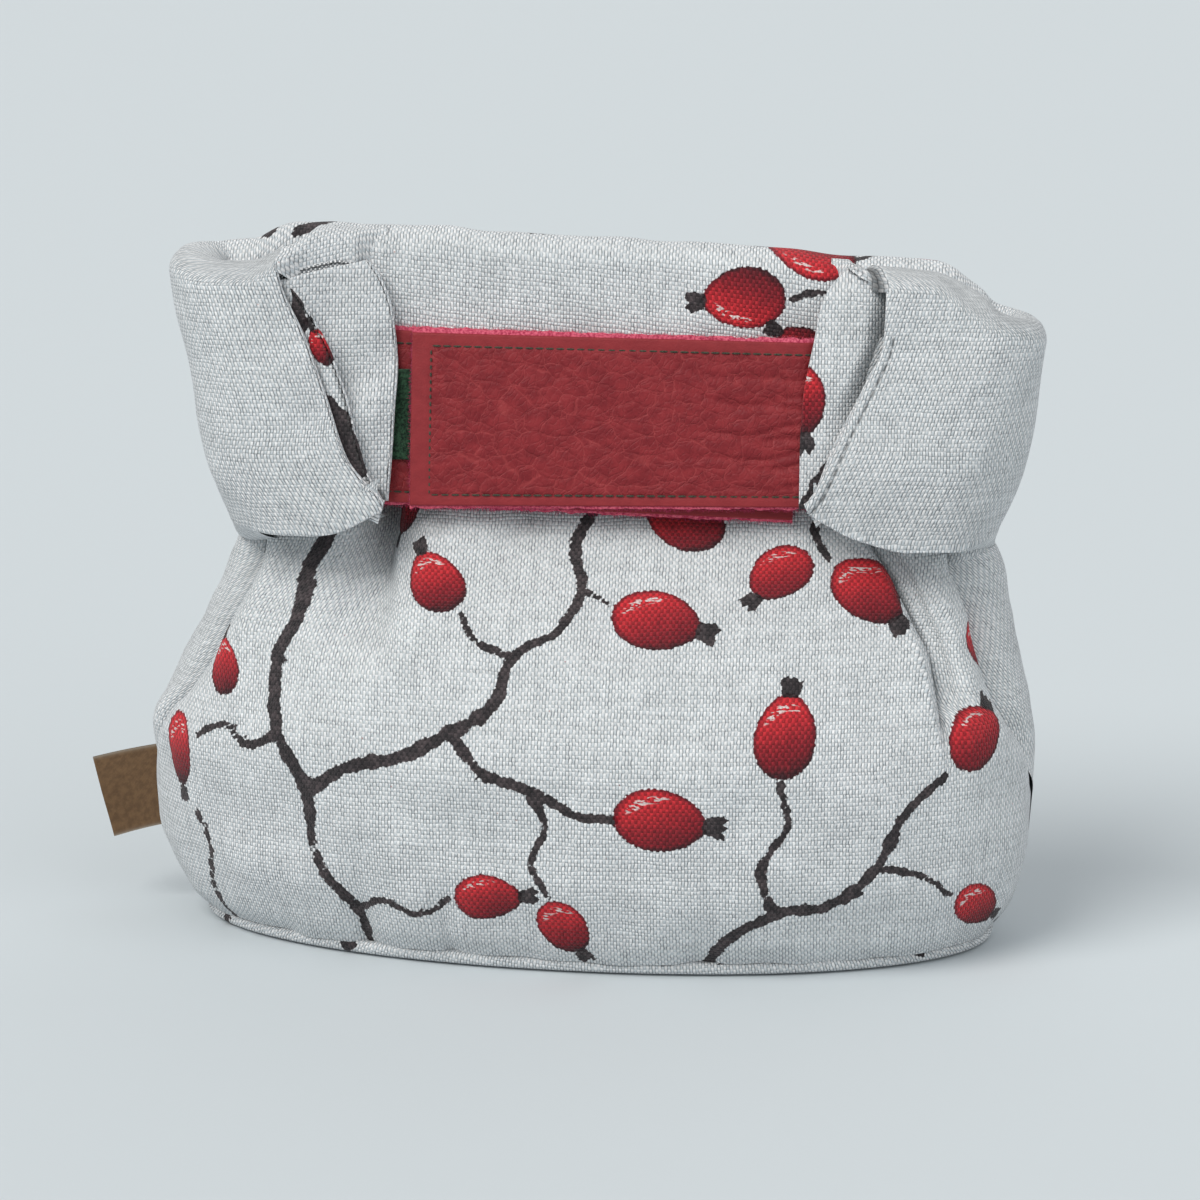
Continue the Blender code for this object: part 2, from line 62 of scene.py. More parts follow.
# The filled body: half widths and half depths at heights, and how square its outline is.
BODY_COLUMNS = ("z", "left", "right", "front", "back", "square")
BODY = (
    (3.0, 122.5, 114.0, 54.5, 54.0, 2.05),
    (12.0, 130.0, 120.0, 61.0, 60.0, 2.15),
    (32.0, 137.0, 125.0, 66.5, 65.0, 2.25),
    (58.0, 138.0, 125.5, 66.5, 66.0, 2.3),
    (84.0, 126.0, 120.0, 57.0, 57.0, 2.3),
    (104.0, 115.5, 116.0, 42.5, 44.0, 2.4),
    (113.0, 111.0, 114.0, 33.5, 38.0, 2.5),
    (122.0, 107.5, 110.5, 25.0, 33.0, 2.6),
    (134.0, 104.0, 106.0, 17.0, 27.0, 2.4),
    (146.0, 100.0, 103.0, 13.0, 22.0, 2.4),
    (170.0, 98.0, 99.0, 8.0, 13.0, 2.4),
    (212.0, 98.0, 97.0, 3.0, 7.0, 2.4),
)
# The belly stands slightly turned, which fades between two heights.
TURN, TURN_HEIGHTS = 0.05, (30.0, 112.0)

# Where the side seams run, as shares of the half widths.
SEAM_COLUMNS = ("z", "left", "right")
SEAM = (
    (0.0, 1.0, 1.0),
    (44.0, 1.0, 1.0),
    (58.0, 0.985, 0.992),
    (80.0, 0.952, 0.955),
    (104.0, 0.945, 0.93),
    (126.0, 0.95, 0.905),
    (215.0, 0.95, 0.90),
)

# The pressed band: half widths, the depths of its layers, and how far in the turned in ends reach.
BAND_COLUMNS = ("z", "left", "right", "back", "flap", "ear", "tip_left", "tip_right", "in_left", "in_right")
BAND = (
    (126.0, 111.0, 114.5, 14.0, -23.0, -38.5, 58.0, 60.0, 65.0, 60.0),
    (146.0, 118.0, 121.0, 9.0, -20.0, -37.5, 62.0, 65.0, 65.0, 61.0),
    (166.0, 121.5, 125.0, 7.0, -16.5, -35.0, 71.0, 72.0, 63.0, 62.0),
    (186.0, 125.0, 127.5, 6.0, -12.5, -32.5, 82.0, 80.0, 63.0, 65.0),
    (212.0, 129.5, 129.0, 5.0, -8.5, -29.5, 93.0, 85.0, 71.0, 76.0),
)
# How far a turned in end's free edge lies back, and how far the layer inside it comes forward.
TIP_BACK = {-1: 2.6, 1: 0.8}
INNER_LIFT = {-1: 7.0, 1: 10.0}

# The height of the top over x.
RIDGE = (
    (-130.0, 208.5),
    (-116.0, 206.0),
    (-104.0, 206.0),
    (-88.0, 211.5),
    (-30.0, 209.0),
    (0.0, 207.5),
    (60.0, 204.0),
    (84.0, 202.5),
    (95.0, 201.5),
    (106.0, 195.5),
    (116.0, 190.0),
    (129.0, 187.5),
)
# How much lower the tops of the turned in ends are, and the lower edges of the flap and of those ends.
EAR_DROP = {-1: 4.0, 1: 0.0}
FLAP_FOOT = 136.0
EAR_FOOT = {-1: (126.0, 134.0), 1: (124.3, 135.0)}
BAND_START = 127.0
BODY_FOOT, BODY_TOP = 4.6, 119.5
BELLY_CENTRE = 60.0

# Main folds: where each runs at its upper and lower end, the heights of those ends, its depth (negative for a
# ridge) and its width to each side.
FRONT_FOLDS = (
    (-57.0, -74.0, 138.0, 82.0, 6.5, 15.0),
    (-37.0, -50.0, 138.0, 90.0, -2.5, 18.0),
    (-84.0, -96.0, 132.0, 62.0, 2.0, 12.0),
    (22.0, 8.0, 138.0, 96.0, 1.6, 26.0),
    (52.0, 66.0, 138.0, 84.0, -2.0, 20.0),
    (-70.0, -66.0, 44.0, 4.0, 1.6, 11.0),
    (-44.0, -40.0, 36.0, 4.0, 1.4, 10.0),
)
BACK_FOLDS = (
    (-66.0, -84.0, 150.0, 58.0, 5.0, 16.0),
    (-42.0, -54.0, 150.0, 74.0, -2.5, 20.0),
    (-8.0, -2.0, 146.0, 84.0, 2.5, 24.0),
    (44.0, 50.0, 150.0, 78.0, -2.0, 18.0),
    (68.0, 84.0, 150.0, 62.0, 5.0, 15.0),
)
FOLDS_FROM_FOOT = 60.0  # folds that end lower than this start at the base seam
FOLD_FADE = 14.0  # the height over which the others fade at their top

# Straps and tapes: the left and right end, the lower and upper edge at the left end, and those at the right.
STRIPS = {
    "strap_left": (-84.0, 55.0, 133.5, 183.0, 129.5, 179.0),
    "strap_right": (-56.0, 84.0, 133.0, 182.5, 134.5, 180.5),
    "loop_tape": (-72.0, 48.0, 145.5, 171.5, 145.5, 171.5),
    "hook_tape": (-49.0, 40.0, 145.5, 171.5, 145.5, 171.5),
}
# The straps' and tapes' middles in front of the flap. Past the left strap's end the right one sinks.
LIFT_END = (1.5, 17.0)
LIFT_LEFT = CLOTH / 2 + CONTACT + LEATHER / 2
LIFT_LOOP = LIFT_LEFT + LEATHER / 2 + CONTACT + TAPE / 2
LIFT_HOOK = LIFT_LOOP + TAPE + CONTACT
LIFT_RIGHT = LIFT_HOOK + TAPE / 2 + CONTACT + LEATHER / 2

LABEL_HEIGHT, LABEL_REACH, LABEL_THICKNESS = 25.0, 20.0, 1.4
LABEL_FOOT, LABEL_TILT, LABEL_BOW = 25.5, 14.0, 1.2


# ---- curves ----


def table_curve(rows, at, column):
    """The values of a table's column at places, on a curve without overshoot through its rows."""
    keys = np.array([row[0] for row in rows])
    values = np.array([row[column] for row in rows])
    at = np.clip(np.asarray(at, float), keys[0], keys[-1])
    slopes = np.diff(values) / np.diff(keys)
    tangents = np.zeros(len(keys))
    same = np.nonzero(slopes[:-1] * slopes[1:] > 0)[0]
    tangents[same + 1] = 2 / (1 / slopes[same] + 1 / slopes[same + 1])
    tangents[0], tangents[-1] = slopes[0], slopes[-1]
    i = np.clip(np.searchsorted(keys, at) - 1, 0, len(keys) - 2)
    step = keys[i + 1] - keys[i]
    t = (at - keys[i]) / step
    return (
        values[i] * (1 + 2 * t) * (1 - t) ** 2
        + tangents[i] * step * t * (1 - t) ** 2
        + values[i + 1] * t * t * (3 - 2 * t)
        + tangents[i + 1] * step * t * t * (t - 1)
    )


def body(name, z):
    return table_curve(BODY, z, BODY_COLUMNS.index(name))


def band(name, z):
    return table_curve(BAND, z, BAND_COLUMNS.index(name))


def ridge(x):
    return table_curve(RIDGE, x, 1)


def ease(value, low, high):
    """0 below low, 1 above high, smooth between."""
    t = np.clip((np.asarray(value, float) - low) / (high - low), 0.0, 1.0)
    return t * t * (3 - 2 * t)


def bump(value, middle, width):
    """1 at the middle, falling smoothly to 0 at the width to each side."""
    t = np.clip(np.abs(np.asarray(value, float) - middle) / width, 0.0, 1.0)
    return (1 - t * t) ** 2


def unit(vectors):
    length = np.linalg.norm(vectors, axis=-1, keepdims=True)
    return vectors / np.maximum(length, 1e-9)


def run_of(points):
    """Distance along a line of points."""
    return np.concatenate([[0.0], np.cumsum(np.linalg.norm(np.diff(points, axis=0), axis=1))])


def resample(points, shares):
    """Points at the given shares of a line's length."""
    run = run_of(points)
    run /= run[-1]
    return np.stack([np.interp(shares, run, points[:, i]) for i in range(points.shape[1])], axis=1)


def even_shares(count):
    return np.linspace(0.0, 1.0, count)


# ---- the filled body ----


def body_outline(z, side, angles):
    """The body's outline at a height, at angles in degrees: -90 is the front, 0 the side, 90 the back."""
    width = body("left" if side < 0 else "right", z)
    square = body("square", z)
    c, s = np.cos(np.radians(angles)), np.sin(np.radians(angles))
    x = width * np.abs(c) ** (2 / square)
    depth = np.where(s > 0, body("back", z), body("front", z))
    y = np.sign(s) * depth * np.abs(s) ** (2 / square)
    return np.stack([side * x, y - TURN * side * x * (1 - ease(z, *TURN_HEIGHTS))], axis=-1)


def seam_angle(z, side):
    share = table_curve(SEAM, z, SEAM_COLUMNS.index("left" if side < 0 else "right"))
    return -math.degrees(math.acos(min(float(share), 1.0) ** (float(body("square", z)) / 2)))


def fold_depth(x, z, folds):
    """How far the main folds of a panel draw its cloth into the bag."""
    depth = np.zeros(np.broadcast(x, z).shape)
    for x_high, x_low, z_high, z_low, deepest, width in folds:
        share = np.clip((z - z_low) / (z_high - z_low), 0.0, 1.0)
        strength = ease(share, 0.0, 0.7) * (1 - ease(z, z_high, z_high + FOLD_FADE))
        if z_high < FOLDS_FROM_FOOT:
            strength = ease(1 - share, 0.0, 0.7)
        depth = depth + deepest * strength * bump(x, x_low + (x_high - x_low) * share, width)
    return depth


def seam_inward(z, side):
    """The direction in plan from a side seam to the middle of the belly on that side."""
    end = body_outline(z, side, np.array([seam_angle(z, side)]))[0]
    return unit(np.array([side * BELLY_CENTRE, 0.0]) - end)


def drawn_to_seam(points, shares, z, side):
    """A panel's row bent in at the side seam, where it ends."""
    start, full, fade, end = SEAM_DRAWN
    depth = SEAM_DRAW * ease(z, start, full) * (1 - ease(z, fade, end))
    weight = ease(shares, 0.86, 1.0) - 0.5 * bump(shares, 0.84, 0.12)
    return points + seam_inward(z, side) * depth * weight[:, None]


# Columns of the back cloth's half: its straight part, the bend round the side, and the turned in end.
BACK_STRAIGHT, BACK_ROUND, BACK_EAR = 9, 9, 6
EAR_START = BACK_STRAIGHT + 7
BACK_END = BACK_STRAIGHT + BACK_ROUND + BACK_EAR
OUTER, INNER = 0, 1


# ---- meshes from grids ----

# The part's drawing frame in the shared one, from the base panel, whose outline is the body's at BODY_FOOT.
base_low, base_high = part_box("base_panel")
outlines = np.concatenate([body_outline(BODY_FOOT, side, np.linspace(-90, 90, 181)) for side in (1, -1)])
base_centre = (np.array(base_low) + base_high)[:2] / 2 / MM
SHIFT = np.append(base_centre - (outlines.max(axis=0) + outlines.min(axis=0)) / 2, 0.0)


def place(points):
    """Points of the drawing frame, in millimetres, in metres in the shared frame."""
    return (np.asarray(points, float) + SHIFT) * MM


def grid_normals(grid):
    """Unit normals of a grid of points, from its columns' direction crossed with its rows'."""
    return unit(np.cross(np.gradient(grid, axis=1), np.gradient(grid, axis=0)))


def linked(name, data):
    """A new object in the scene."""
    obj = bpy.data.objects.new(name, data)
    bpy.context.collection.objects.link(obj)
    return obj


class Patch:
    """Grids of points gathered into one mesh, each with its flat cloth coordinates and its fields."""

    def __init__(self):
        self.points, self.flat, self.faces, self.fields, self.count = [], [], [], {}, 0

    def add(self, grid, flat, kept=None, flip=False, **fields):
        rows, columns = grid.shape[:2]
        if kept is None:
            kept = np.ones((rows - 1, columns - 1), bool)
        i, j = np.nonzero(kept)
        corner = i * columns + j
        around = [corner, corner + 1, corner + columns + 1, corner + columns]
        self.faces.append(self.count + np.stack(around[::-1] if flip else around, 1))
        self.points.append(grid.reshape(-1, 3))
        self.flat.append(flat.reshape(-1, 2))
        for name, values in fields.items():
            self.fields.setdefault(name, []).append((self.count, np.asarray(values, float).ravel()))
        self.count += rows * columns

    def build(self, name, material, stands_for=None):
        """The mesh as a piece on the part and the node that it stands for."""
        points, flat = np.concatenate(self.points), np.concatenate(self.flat)
        used, faces = np.unique(np.concatenate(self.faces), return_inverse=True)
        faces = faces.reshape(-1, 4)
        mesh = bpy.data.meshes.new(name)
        mesh.vertices.add(len(used))
        mesh.vertices.foreach_set("co", place(points[used]).astype(np.float32).ravel())
        mesh.loops.add(faces.size)
        mesh.loops.foreach_set("vertex_index", faces.astype(np.int32).ravel())
        mesh.polygons.add(len(faces))
        mesh.polygons.foreach_set("loop_start", np.arange(0, faces.size, 4, dtype=np.int32))
        mesh.polygons.foreach_set("loop_total", np.full(len(faces), 4, dtype=np.int32))
        mesh.update(calc_edges=True)
        coordinates = mesh.uv_layers.new(name="cloth").data
        coordinates.foreach_set("uv", flat[used][faces].astype(np.float32).ravel())
        for field, parts in self.fields.items():
            values = np.full(self.count, FIELDS[field], np.float32)
            for start, part in parts:
                values[start : start + len(part)] = part
            mesh.attributes.new(field, "FLOAT", "POINT").data.foreach_set("value", values[used])
        mesh.materials.append(material)
        welded = bmesh.new()
        welded.from_mesh(mesh)
        bmesh.ops.remove_doubles(welded, verts=welded.verts, dist=2e-6)
        welded.to_mesh(mesh)
        welded.free()
        mesh.shade_smooth()
        obj = linked(name, mesh)
        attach(obj, "root")
        if stands_for:
            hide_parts(stands_for)
        return obj


def row_lengths(grid, middle):
    """Distance along each row from its middle column, negative before it."""
    steps = np.linalg.norm(np.diff(grid, axis=1), axis=2)
    run = np.concatenate([np.zeros((len(grid), 1)), np.cumsum(steps, axis=1)], axis=1)
    return run - run[:, middle : middle + 1]


def rolled(line, inner, normals, flat, flat_inner, half, reach):
    """Cloth turned under along an edge of a face: round the edge and back under it."""
    outward = unit(line - inner)
    flat_outward = unit(flat - flat_inner)
    profile = [(half * math.sin(a), half * (math.cos(a) - 1)) for a in np.linspace(0, math.pi, 9)]
    profile += [(-reach * 0.5, -2 * half), (-reach, -2 * half)]
    run, last, grid, coords = 0.0, profile[0], [], []
    for out, up in profile:
        run += math.hypot(out - last[0], up - last[1])
        last = (out, up)
        grid.append(line + outward * out + normals * up)
        coords.append(flat + flat_outward * run)
    return np.array(grid), np.array(coords)


# ---- the print: dark twigs and red berries, an own drawing in flat cloth coordinates ----

NOWHERE = 60.0  # a distance that stands for nowhere near
# The fields that a cloth's points carry, with the value each has where nothing is printed; dusk and shade
# carry painted shade.
FIELDS = {"twig": NOWHERE, "red": NOWHERE, "tip": NOWHERE, "size": 3.0, "lit": 0.0, "dusk": 0.0,
          "shade": 0.0, "border": 0.0}
LIGHT = np.array([-0.35, 0.94])  # where the berries' painted light comes from


def smooth_line(points, step=1.6):
    """A smooth line through given points, each with its half width last."""
    points = np.array(points, float)
    padded = np.vstack([2 * points[0] - points[1], points, 2 * points[-1] - points[-2]])
    line = []
    for a, b, c, d in zip(padded, padded[1:], padded[2:], padded[3:]):
        count = max(2, int(np.linalg.norm(c[:2] - b[:2]) / step))
        for t in np.arange(count) / count:
            line.append(0.5 * (2 * b + (c - a) * t + (2 * a - 5 * b + 4 * c - d) * t**2
                               + (3 * b - a - 3 * c + d) * t**3))
    line.append(points[-1])
    return np.array(line)


def stroke_distance(flat, line, distance):
    """Lowers distance to that of a stroke whose points carry their half widths."""
    for a, b in zip(line, line[1:]):
        near = np.nonzero(np.all(np.abs(flat - (a + b)[:2] / 2) < 9.0, axis=1))[0]
        if not len(near):
            continue
        p, d = flat[near] - a[:2], (b - a)[:2]
        t = np.clip(p @ d / max(d @ d, 1e-9), 0.0, 1.0)
        away = np.linalg.norm(p - t[:, None] * d, axis=1) - (a[2] * (1 - t) + b[2] * t)
        distance[near] = np.minimum(distance[near], away)


def twig_distance(flat, twigs, random):
    """Signed distance to the nearest twig, whose bark is uneven and has knots and short spurs."""
    distance = np.full(len(flat), NOWHERE)
    for twig in twigs:
        line = smooth_line(twig)
        width = line[:, 2] * (1 + 0.13 * random.standard_normal(len(line)))
        knots = random.random(len(line)) < 0.08
        line[:, 2] = width * (1 + 0.3 * knots)
        line[:, :2] += random.standard_normal((len(line), 2)) * 0.2
        stroke_distance(flat, line, distance)
        spurs = np.nonzero(random.random(len(line)) < 0.07)[0]
        angles = random.uniform(-1.2, 1.2, len(line))
        for k in spurs:
            if 0 < k < len(line) - 1:
                along = unit(line[k + 1, :2] - line[k - 1, :2])
                turn = angles[k] + (math.pi / 2 if angles[k] > 0 else -math.pi / 2) * 0.5
                c, s = math.cos(turn), math.sin(turn)
                end = line[k, :2] + (line[k, 2] + 1.3) * np.array([along[0] * c - along[1] * s,
                                                                  along[0] * s + along[1] * c])
                spur = np.array([[*line[k, :2], line[k, 2] * 0.6], [*end, 0.25]])
                stroke_distance(flat, spur, distance)
    return distance


def berry_fields(flat, berries, random):
    """Signed distances to berries and their dark tips, and the places inside the berries."""
    fields = {name: np.full(len(flat), FIELDS[name]) for name in ("red", "tip", "size", "lit")}
    red, tip = fields["red"], fields["tip"]
    for s, t, length, width, turn in berries:
        seeds = random.random(4)
        near = np.nonzero(np.linalg.norm(flat - (s, t), axis=1) < length + 8)[0]
        if not len(near):
            continue
        c, d = math.cos(math.radians(turn)), math.sin(math.radians(turn))
        rel = flat[near] - (s, t)
        along, across = rel @ (c, d), rel @ (-d, c)
        p, q = along / (length / 2), across / (width / 2)
        size = np.hypot(p, q / (1 - 0.12 * p - 0.06 * p * p))
        away = (size - 1) * min(length, width) / 2
        first = away < red[near]
        for name, values in (("size", size), ("lit", rel @ LIGHT / (width / 2))):
            fields[name][near] = np.where(first, values, fields[name][near])
        red[near] = np.minimum(red[near], away)
        # The dark tip: a short crown with an uneven end, which spreads a little.
        beyond = along - length / 2
        crown = 2.4 + length * 0.10
        teeth = 0.9 * np.cos(2 * math.pi * (across + seeds[0] * 2) / 2.6) + 0.6 * (seeds[1] - 0.5)
        half_width = width * 0.15 + 0.22 * beyond
        end = np.maximum(np.abs(across) - half_width, np.maximum(-beyond - 1.5, beyond - crown - teeth))
        tip[near] = np.where((away < 0.1) & (end > 0.3), NOWHERE, tip[near])
        tip[near] = np.minimum(tip[near], end)
    return fields


def painted(flat, twigs, berries, seed):
    """The fields of the print at flat cloth coordinates."""
    shape = flat.shape[:-1]
    flat = flat.reshape(-1, 2)
    random = np.random.default_rng(seed)
    fields = {"twig": twig_distance(flat, twigs, random), **berry_fields(flat, berries, random)}
    return {name: values.reshape(shape) for name, values in fields.items()}


# Twigs as points with half widths. Berries as place, length, width and turn of the axis towards the tip.
FRONT_TWIGS = (
    ((-70, -4, 1.4), (-73, 14, 1.7), (-83, 32, 1.9), (-85, 50, 2.1), (-94, 67, 2.2), (-97, 86, 2.2),
     (-93, 104, 2.4), (-100, 123, 2.6), (-97, 142, 3.0), (-91, 160, 3.2)),
    ((-85, 50, 2.0), (-72, 59, 1.9), (-56, 63, 1.9), (-41, 71, 2.0), (-29, 79, 1.8), (-24, 94, 1.6),
     (-11, 103, 1.5), (-5, 117, 1.5), (-8, 133, 1.6), (0, 150, 1.7)),
    ((-41, 71, 1.7), (-31, 60, 1.6), (-18, 56, 1.6), (-5, 49, 1.5), (7, 48, 1.3)),
    ((-18, 56, 1.3), (-13, 45, 1.2), (-17, 34, 1.1), (-12, 24, 0.9)),
    ((-24, 94, 1.3), (-35, 99, 1.2), (-40, 108, 1.0)),
    ((32, -4, 1.6), (38, 10, 1.9), (52, 20, 1.9), (68, 22, 1.8), (82, 33, 1.7), (90, 48, 1.5),
     (103, 58, 1.3)),
    ((52, 20, 1.4), (49, 34, 1.4), (56, 46, 1.2), (54, 58, 1.0)),
    ((82, 33, 1.2), (95, 30, 1.1), (106, 22, 0.9)),
    ((-94, 67, 1.5), (-105, 62, 1.3), (-114, 67, 1.1), (-124, 62, 0.9)),
    ((-73, 14, 1.3), (-62, 19, 1.2), (-51, 16, 1.1), (-42, 21, 0.9)),
    ((67, 156, 1.5), (62, 140, 1.3), (66, 128, 1.1)),
    ((-5, 117, 1.0), (3, 112, 0.9)),
    ((-128, 40, 1.2), (-122, 28, 1.3), (-126, 14, 1.2), (-120, 0, 1.1)),
)
FRONT_BERRIES = (
    (20, 48, 27, 18.5, -6),
    (-8, 14, 20, 14.5, -62),
    (-48, 119, 23, 16.5, 118),
    (17, 107, 27, 19.5, -16),
    (-30, 23, 21, 14.5, 6),
    (55, 72, 25, 18, 84),
    (115, 68, 23, 16, 42),
    (117, 16, 21, 14.5, -32),
    (78, 117, 27, 19.5, -52),
    (52, 124, 22, 17, -128),
    (-66, 143, 21, 17, -96),
    (-134, 56, 23, 13.5, -84),
    (-116, 84, 18, 12.5, 102),
    (132, 96, 22, 15, -70),
    (24, 140, 24, 18, 160),
)


def moved(marks, s, t, mirror=False):
    """Twigs or berries in another place, mirrored if wanted."""
    result = []
    for mark in marks:
        if isinstance(mark[0], tuple):
            result.append(tuple((s + (-a if mirror else a), t + b, w) for a, b, w in mark))
        else:
            a, b, length, width, turn = mark
            result.append((s + (-a if mirror else a), t + b, length, width, 180 - turn if mirror else turn))
    return tuple(result)


# ---- materials ----


class Value:
    """What a shader node gives, for sums and products with numbers and with other nodes."""

    def __init__(self, graph, socket):
        self.graph, self.socket = graph, socket

    def __add__(self, other):
        return self.graph.math("ADD", self, other)

    def __sub__(self, number):
        return self.graph.math("ADD", self, -number)

    def __mul__(self, other):
        return self.graph.math("MULTIPLY", self, other)


class Graph:
    """A new material with short calls for the shader nodes that are used here."""

    def __init__(self, name):
        self.material = bpy.data.materials.new(name)
        self.material.use_nodes = True
        self.tree = self.material.node_tree

    def feed(self, socket, value):
        if isinstance(value, Value):
            self.tree.links.new(value.socket, socket)
        elif isinstance(value, tuple):
            socket.default_value = (*value, 1.0)
        else:
            socket.default_value = value

    def finish(self, colour, roughness, specular, normal=None, sheen=0.0):
        """Feeds the shader. Numbers that are the same all over go on its own sockets."""
        inputs = self.tree.nodes["Principled BSDF"].inputs
        for key, value in (("Base Color", colour), ("Roughness", roughness), ("Specular IOR Level", specular),
                           ("Sheen Weight", sheen)):
            self.feed(inputs[key], value)
        if normal:
            self.feed(inputs["Normal"], normal)
        return self.material

    def node(self, kind, output, inputs, **settings):
        """A new node with its settings and inputs, and the one of its outputs that is wanted."""
        node = self.tree.nodes.new("ShaderNode" + kind)
        for name, value in settings.items():
            setattr(node, name, value)
        for key, value in inputs.items():
            self.feed(node.inputs[key], value)
        return Value(self, node.outputs[output])

    def math(self, operation, a, b=0.0):
        return self.node("Math", 0, {0: a, 1: b}, operation=operation)

    def span(self, value, low, high, to_low=0.0, to_high=1.0):
        """A smooth step from to_low, at low, to to_high, at high."""
        inputs = {"Value": value, "From Min": low, "From Max": high, "To Min": to_low, "To Max": to_high}
        return self.node("MapRange", "Result", inputs, interpolation_type="SMOOTHSTEP")

    def mix(self, share, a, b, blend="MIX"):
        """The colours a and b mixed. Of the node's sockets, 0 is the share, 6 and 7 take the colours."""
        return self.node("Mix", 2, {0: share, 6: a, 7: b}, data_type="RGBA", blend_type=blend)

    def shaded(self, colour, light):
        return self.mix(1.0, colour, self.vector(light, light, light), "MULTIPLY")

    def field(self, name):
        return self.node("Attribute", "Fac", {}, attribute_name=name)

    def vector(self, x, y, z=0.0):
        return self.node("CombineXYZ", 0, {0: x, 1: y, 2: z})

    def flat(self):
        """The flat cloth coordinates, in millimetres."""
        uv = self.node("UVMap", 0, {}, uv_map="cloth")
        return [self.node("SeparateXYZ", k, {0: uv}) for k in (0, 1)]

    def textured(self, kind, output, at, inputs, **settings):
        """A texture at coordinates, or at a node's places."""
        at = at if isinstance(at, Value) else self.vector(*at)
        return self.node("Tex" + kind, output, {"Vector": at, **inputs}, **settings)

    def noise(self, at, scale, detail=2.0, rough=0.5):
        return self.textured("Noise", "Fac", at, {"Scale": scale, "Detail": detail, "Roughness": rough})

    def cells(self, at, scale, feature="DISTANCE_TO_EDGE"):
        return self.textured("Voronoi", "Distance", at, {"Scale": scale}, feature=feature)

    def bump(self, height, distance, strength):
        return self.node("Bump", 0, {"Distance": distance, "Strength": strength, "Height": height})


WARP, WEFT = 0.90, 1.20  # thread spacing across and up the cloth
WHITE_YARN = (0.84, 0.845, 0.85)
GREY_YARN = (0.60, 0.645, 0.675)
GAP = (0.135, 0.150, 0.165)
DARK_GAP = (0.030, 0.034, 0.038)


def weave(g, s, t):
    """A plain weave of white warp over grey weft: its colour, its height and the warp's share."""
    drift = g.noise((s, t), 0.08)
    wander = g.noise((s * 0.4, t * 1.6, 4.0), 0.30) - 0.5
    across = s * (1 / WARP) + wander * 0.55
    up = t * (1 / WEFT) + wander * 1.1
    beside = g.math("ABSOLUTE", g.math("SINE", across * math.pi))
    over = g.math("SINE", across * math.pi) * g.math("SINE", up * math.pi)
    yarn = g.noise((across * 0.9, up * 0.07, 9.0), 0.9)
    slub = g.noise((across * 0.05, up * 0.9, 2.0), 0.9)
    fine = g.noise((s, t, 7.0), 1.3, 3.0, 0.6)
    patchy = g.noise((s, t, 17.0), 0.55)
    warp = g.span(over + ((yarn - 0.5) * 0.5 + (fine - 0.5) * 0.8), -0.55, 0.45)
    # Small dark gaps at both sides of a white float, some of them closed.
    narrow = beside + (fine - 0.5) * 0.9 + (patchy - 0.5) * 1.6
    open_gap = g.span(narrow, 0.62, 0.05) * g.span(over, 0.5, -0.1)
    # The dusk field paints shade on the weave: it darkens the grey weft and the gaps.
    weft = g.mix(g.field("dusk"), GREY_YARN, GAP)
    gap = g.mix(g.field("dusk"), GAP, DARK_GAP)
    colour = g.mix(open_gap * 0.80, g.mix(warp, weft, WHITE_YARN), gap)
    light = g.span(yarn * 0.5 + slub * 0.5, 0.34, 0.66, 0.90, 1.05)
    # Slow drift in tone, and painted shade from the shade field.
    light = light * g.span(drift, 0.3, 0.7, 0.965, 1.02) * g.span(g.field("shade"), 0.0, 1.0, 1.0, 0.12)
    height = g.math("POWER", g.math("ABSOLUTE", over), 0.6) + fine * 0.5
    return g.shaded(colour, light), height, warp


def canvas_material(name, printed=True):
    g = Graph(name)
    s, t = g.flat()
    colour, height, warp = weave(g, s, t)
    # A few coloured specks of fibre.
    chance = g.noise((s, t, 3.0), 0.5, 0.0)
    fleck = g.span(g.cells((s, t), 0.16, "F1"), 0.05, 0.03) * g.span(chance, 0.56, 0.6)
    colour = g.mix(fleck * 0.6, colour, (0.42, 0.16, 0.13))
    if printed:
        edge = (g.noise((s, t, 5.0), 0.7) - 0.5) * 1.1 + warp * 0.22
        dye = g.noise((s, t, 11.0), 0.40, 3.0, 0.6)
        grain = g.noise((s, t * 2.0, 13.0), 1.1)
        size, lit = g.field("size"), g.field("lit")

        def inked(colour, field, share, ink):
            return g.mix(g.span(g.field(field) + edge, 0.16, -0.16) * share, colour, ink)

        thread = g.span(warp, 0.0, 1.0, 0.60, 1.08) * g.span(grain, 0.3, 0.7, 0.86, 1.10)
        bark = g.mix(g.span(dye, 0.38, 0.68), (0.020, 0.014, 0.016), (0.070, 0.052, 0.055))
        bark = g.shaded(bark, thread)
        colour = inked(colour, "twig", 0.97, bark)
        tone = (lit * 0.42 + 0.60) * g.span(size, 0.80, 1.02, 1.0, 0.22) + (dye - 0.5) * 0.40
        deep = g.mix(g.span(tone, 0.0, 0.40), (0.040, 0.004, 0.008), (0.24, 0.006, 0.015))
        red = g.mix(g.span(tone, 0.32, 0.95), deep, (0.66, 0.022, 0.032))
        colour = inked(colour, "red", 0.98, g.shaded(red, thread))
        # Short pale dashes along the lit side of each berry.
        dash = g.noise((s * 0.55, t * 1.5, 19.0), 0.9, 1.0)
        ring = g.span(size, 0.52, 0.60) * g.span(size, 0.80, 0.72)
        gleam = ring * g.span(lit, 0.52, 0.60) * g.span(dash, 0.52, 0.57)
        colour = g.mix(gleam * 0.9, colour, (0.74, 0.66, 0.64))
        colour = inked(colour, "tip", 0.97, bark)
    return g.finish(colour, 0.92, 0.15, g.bump(height, 0.00034, 0.9), sheen=0.1)


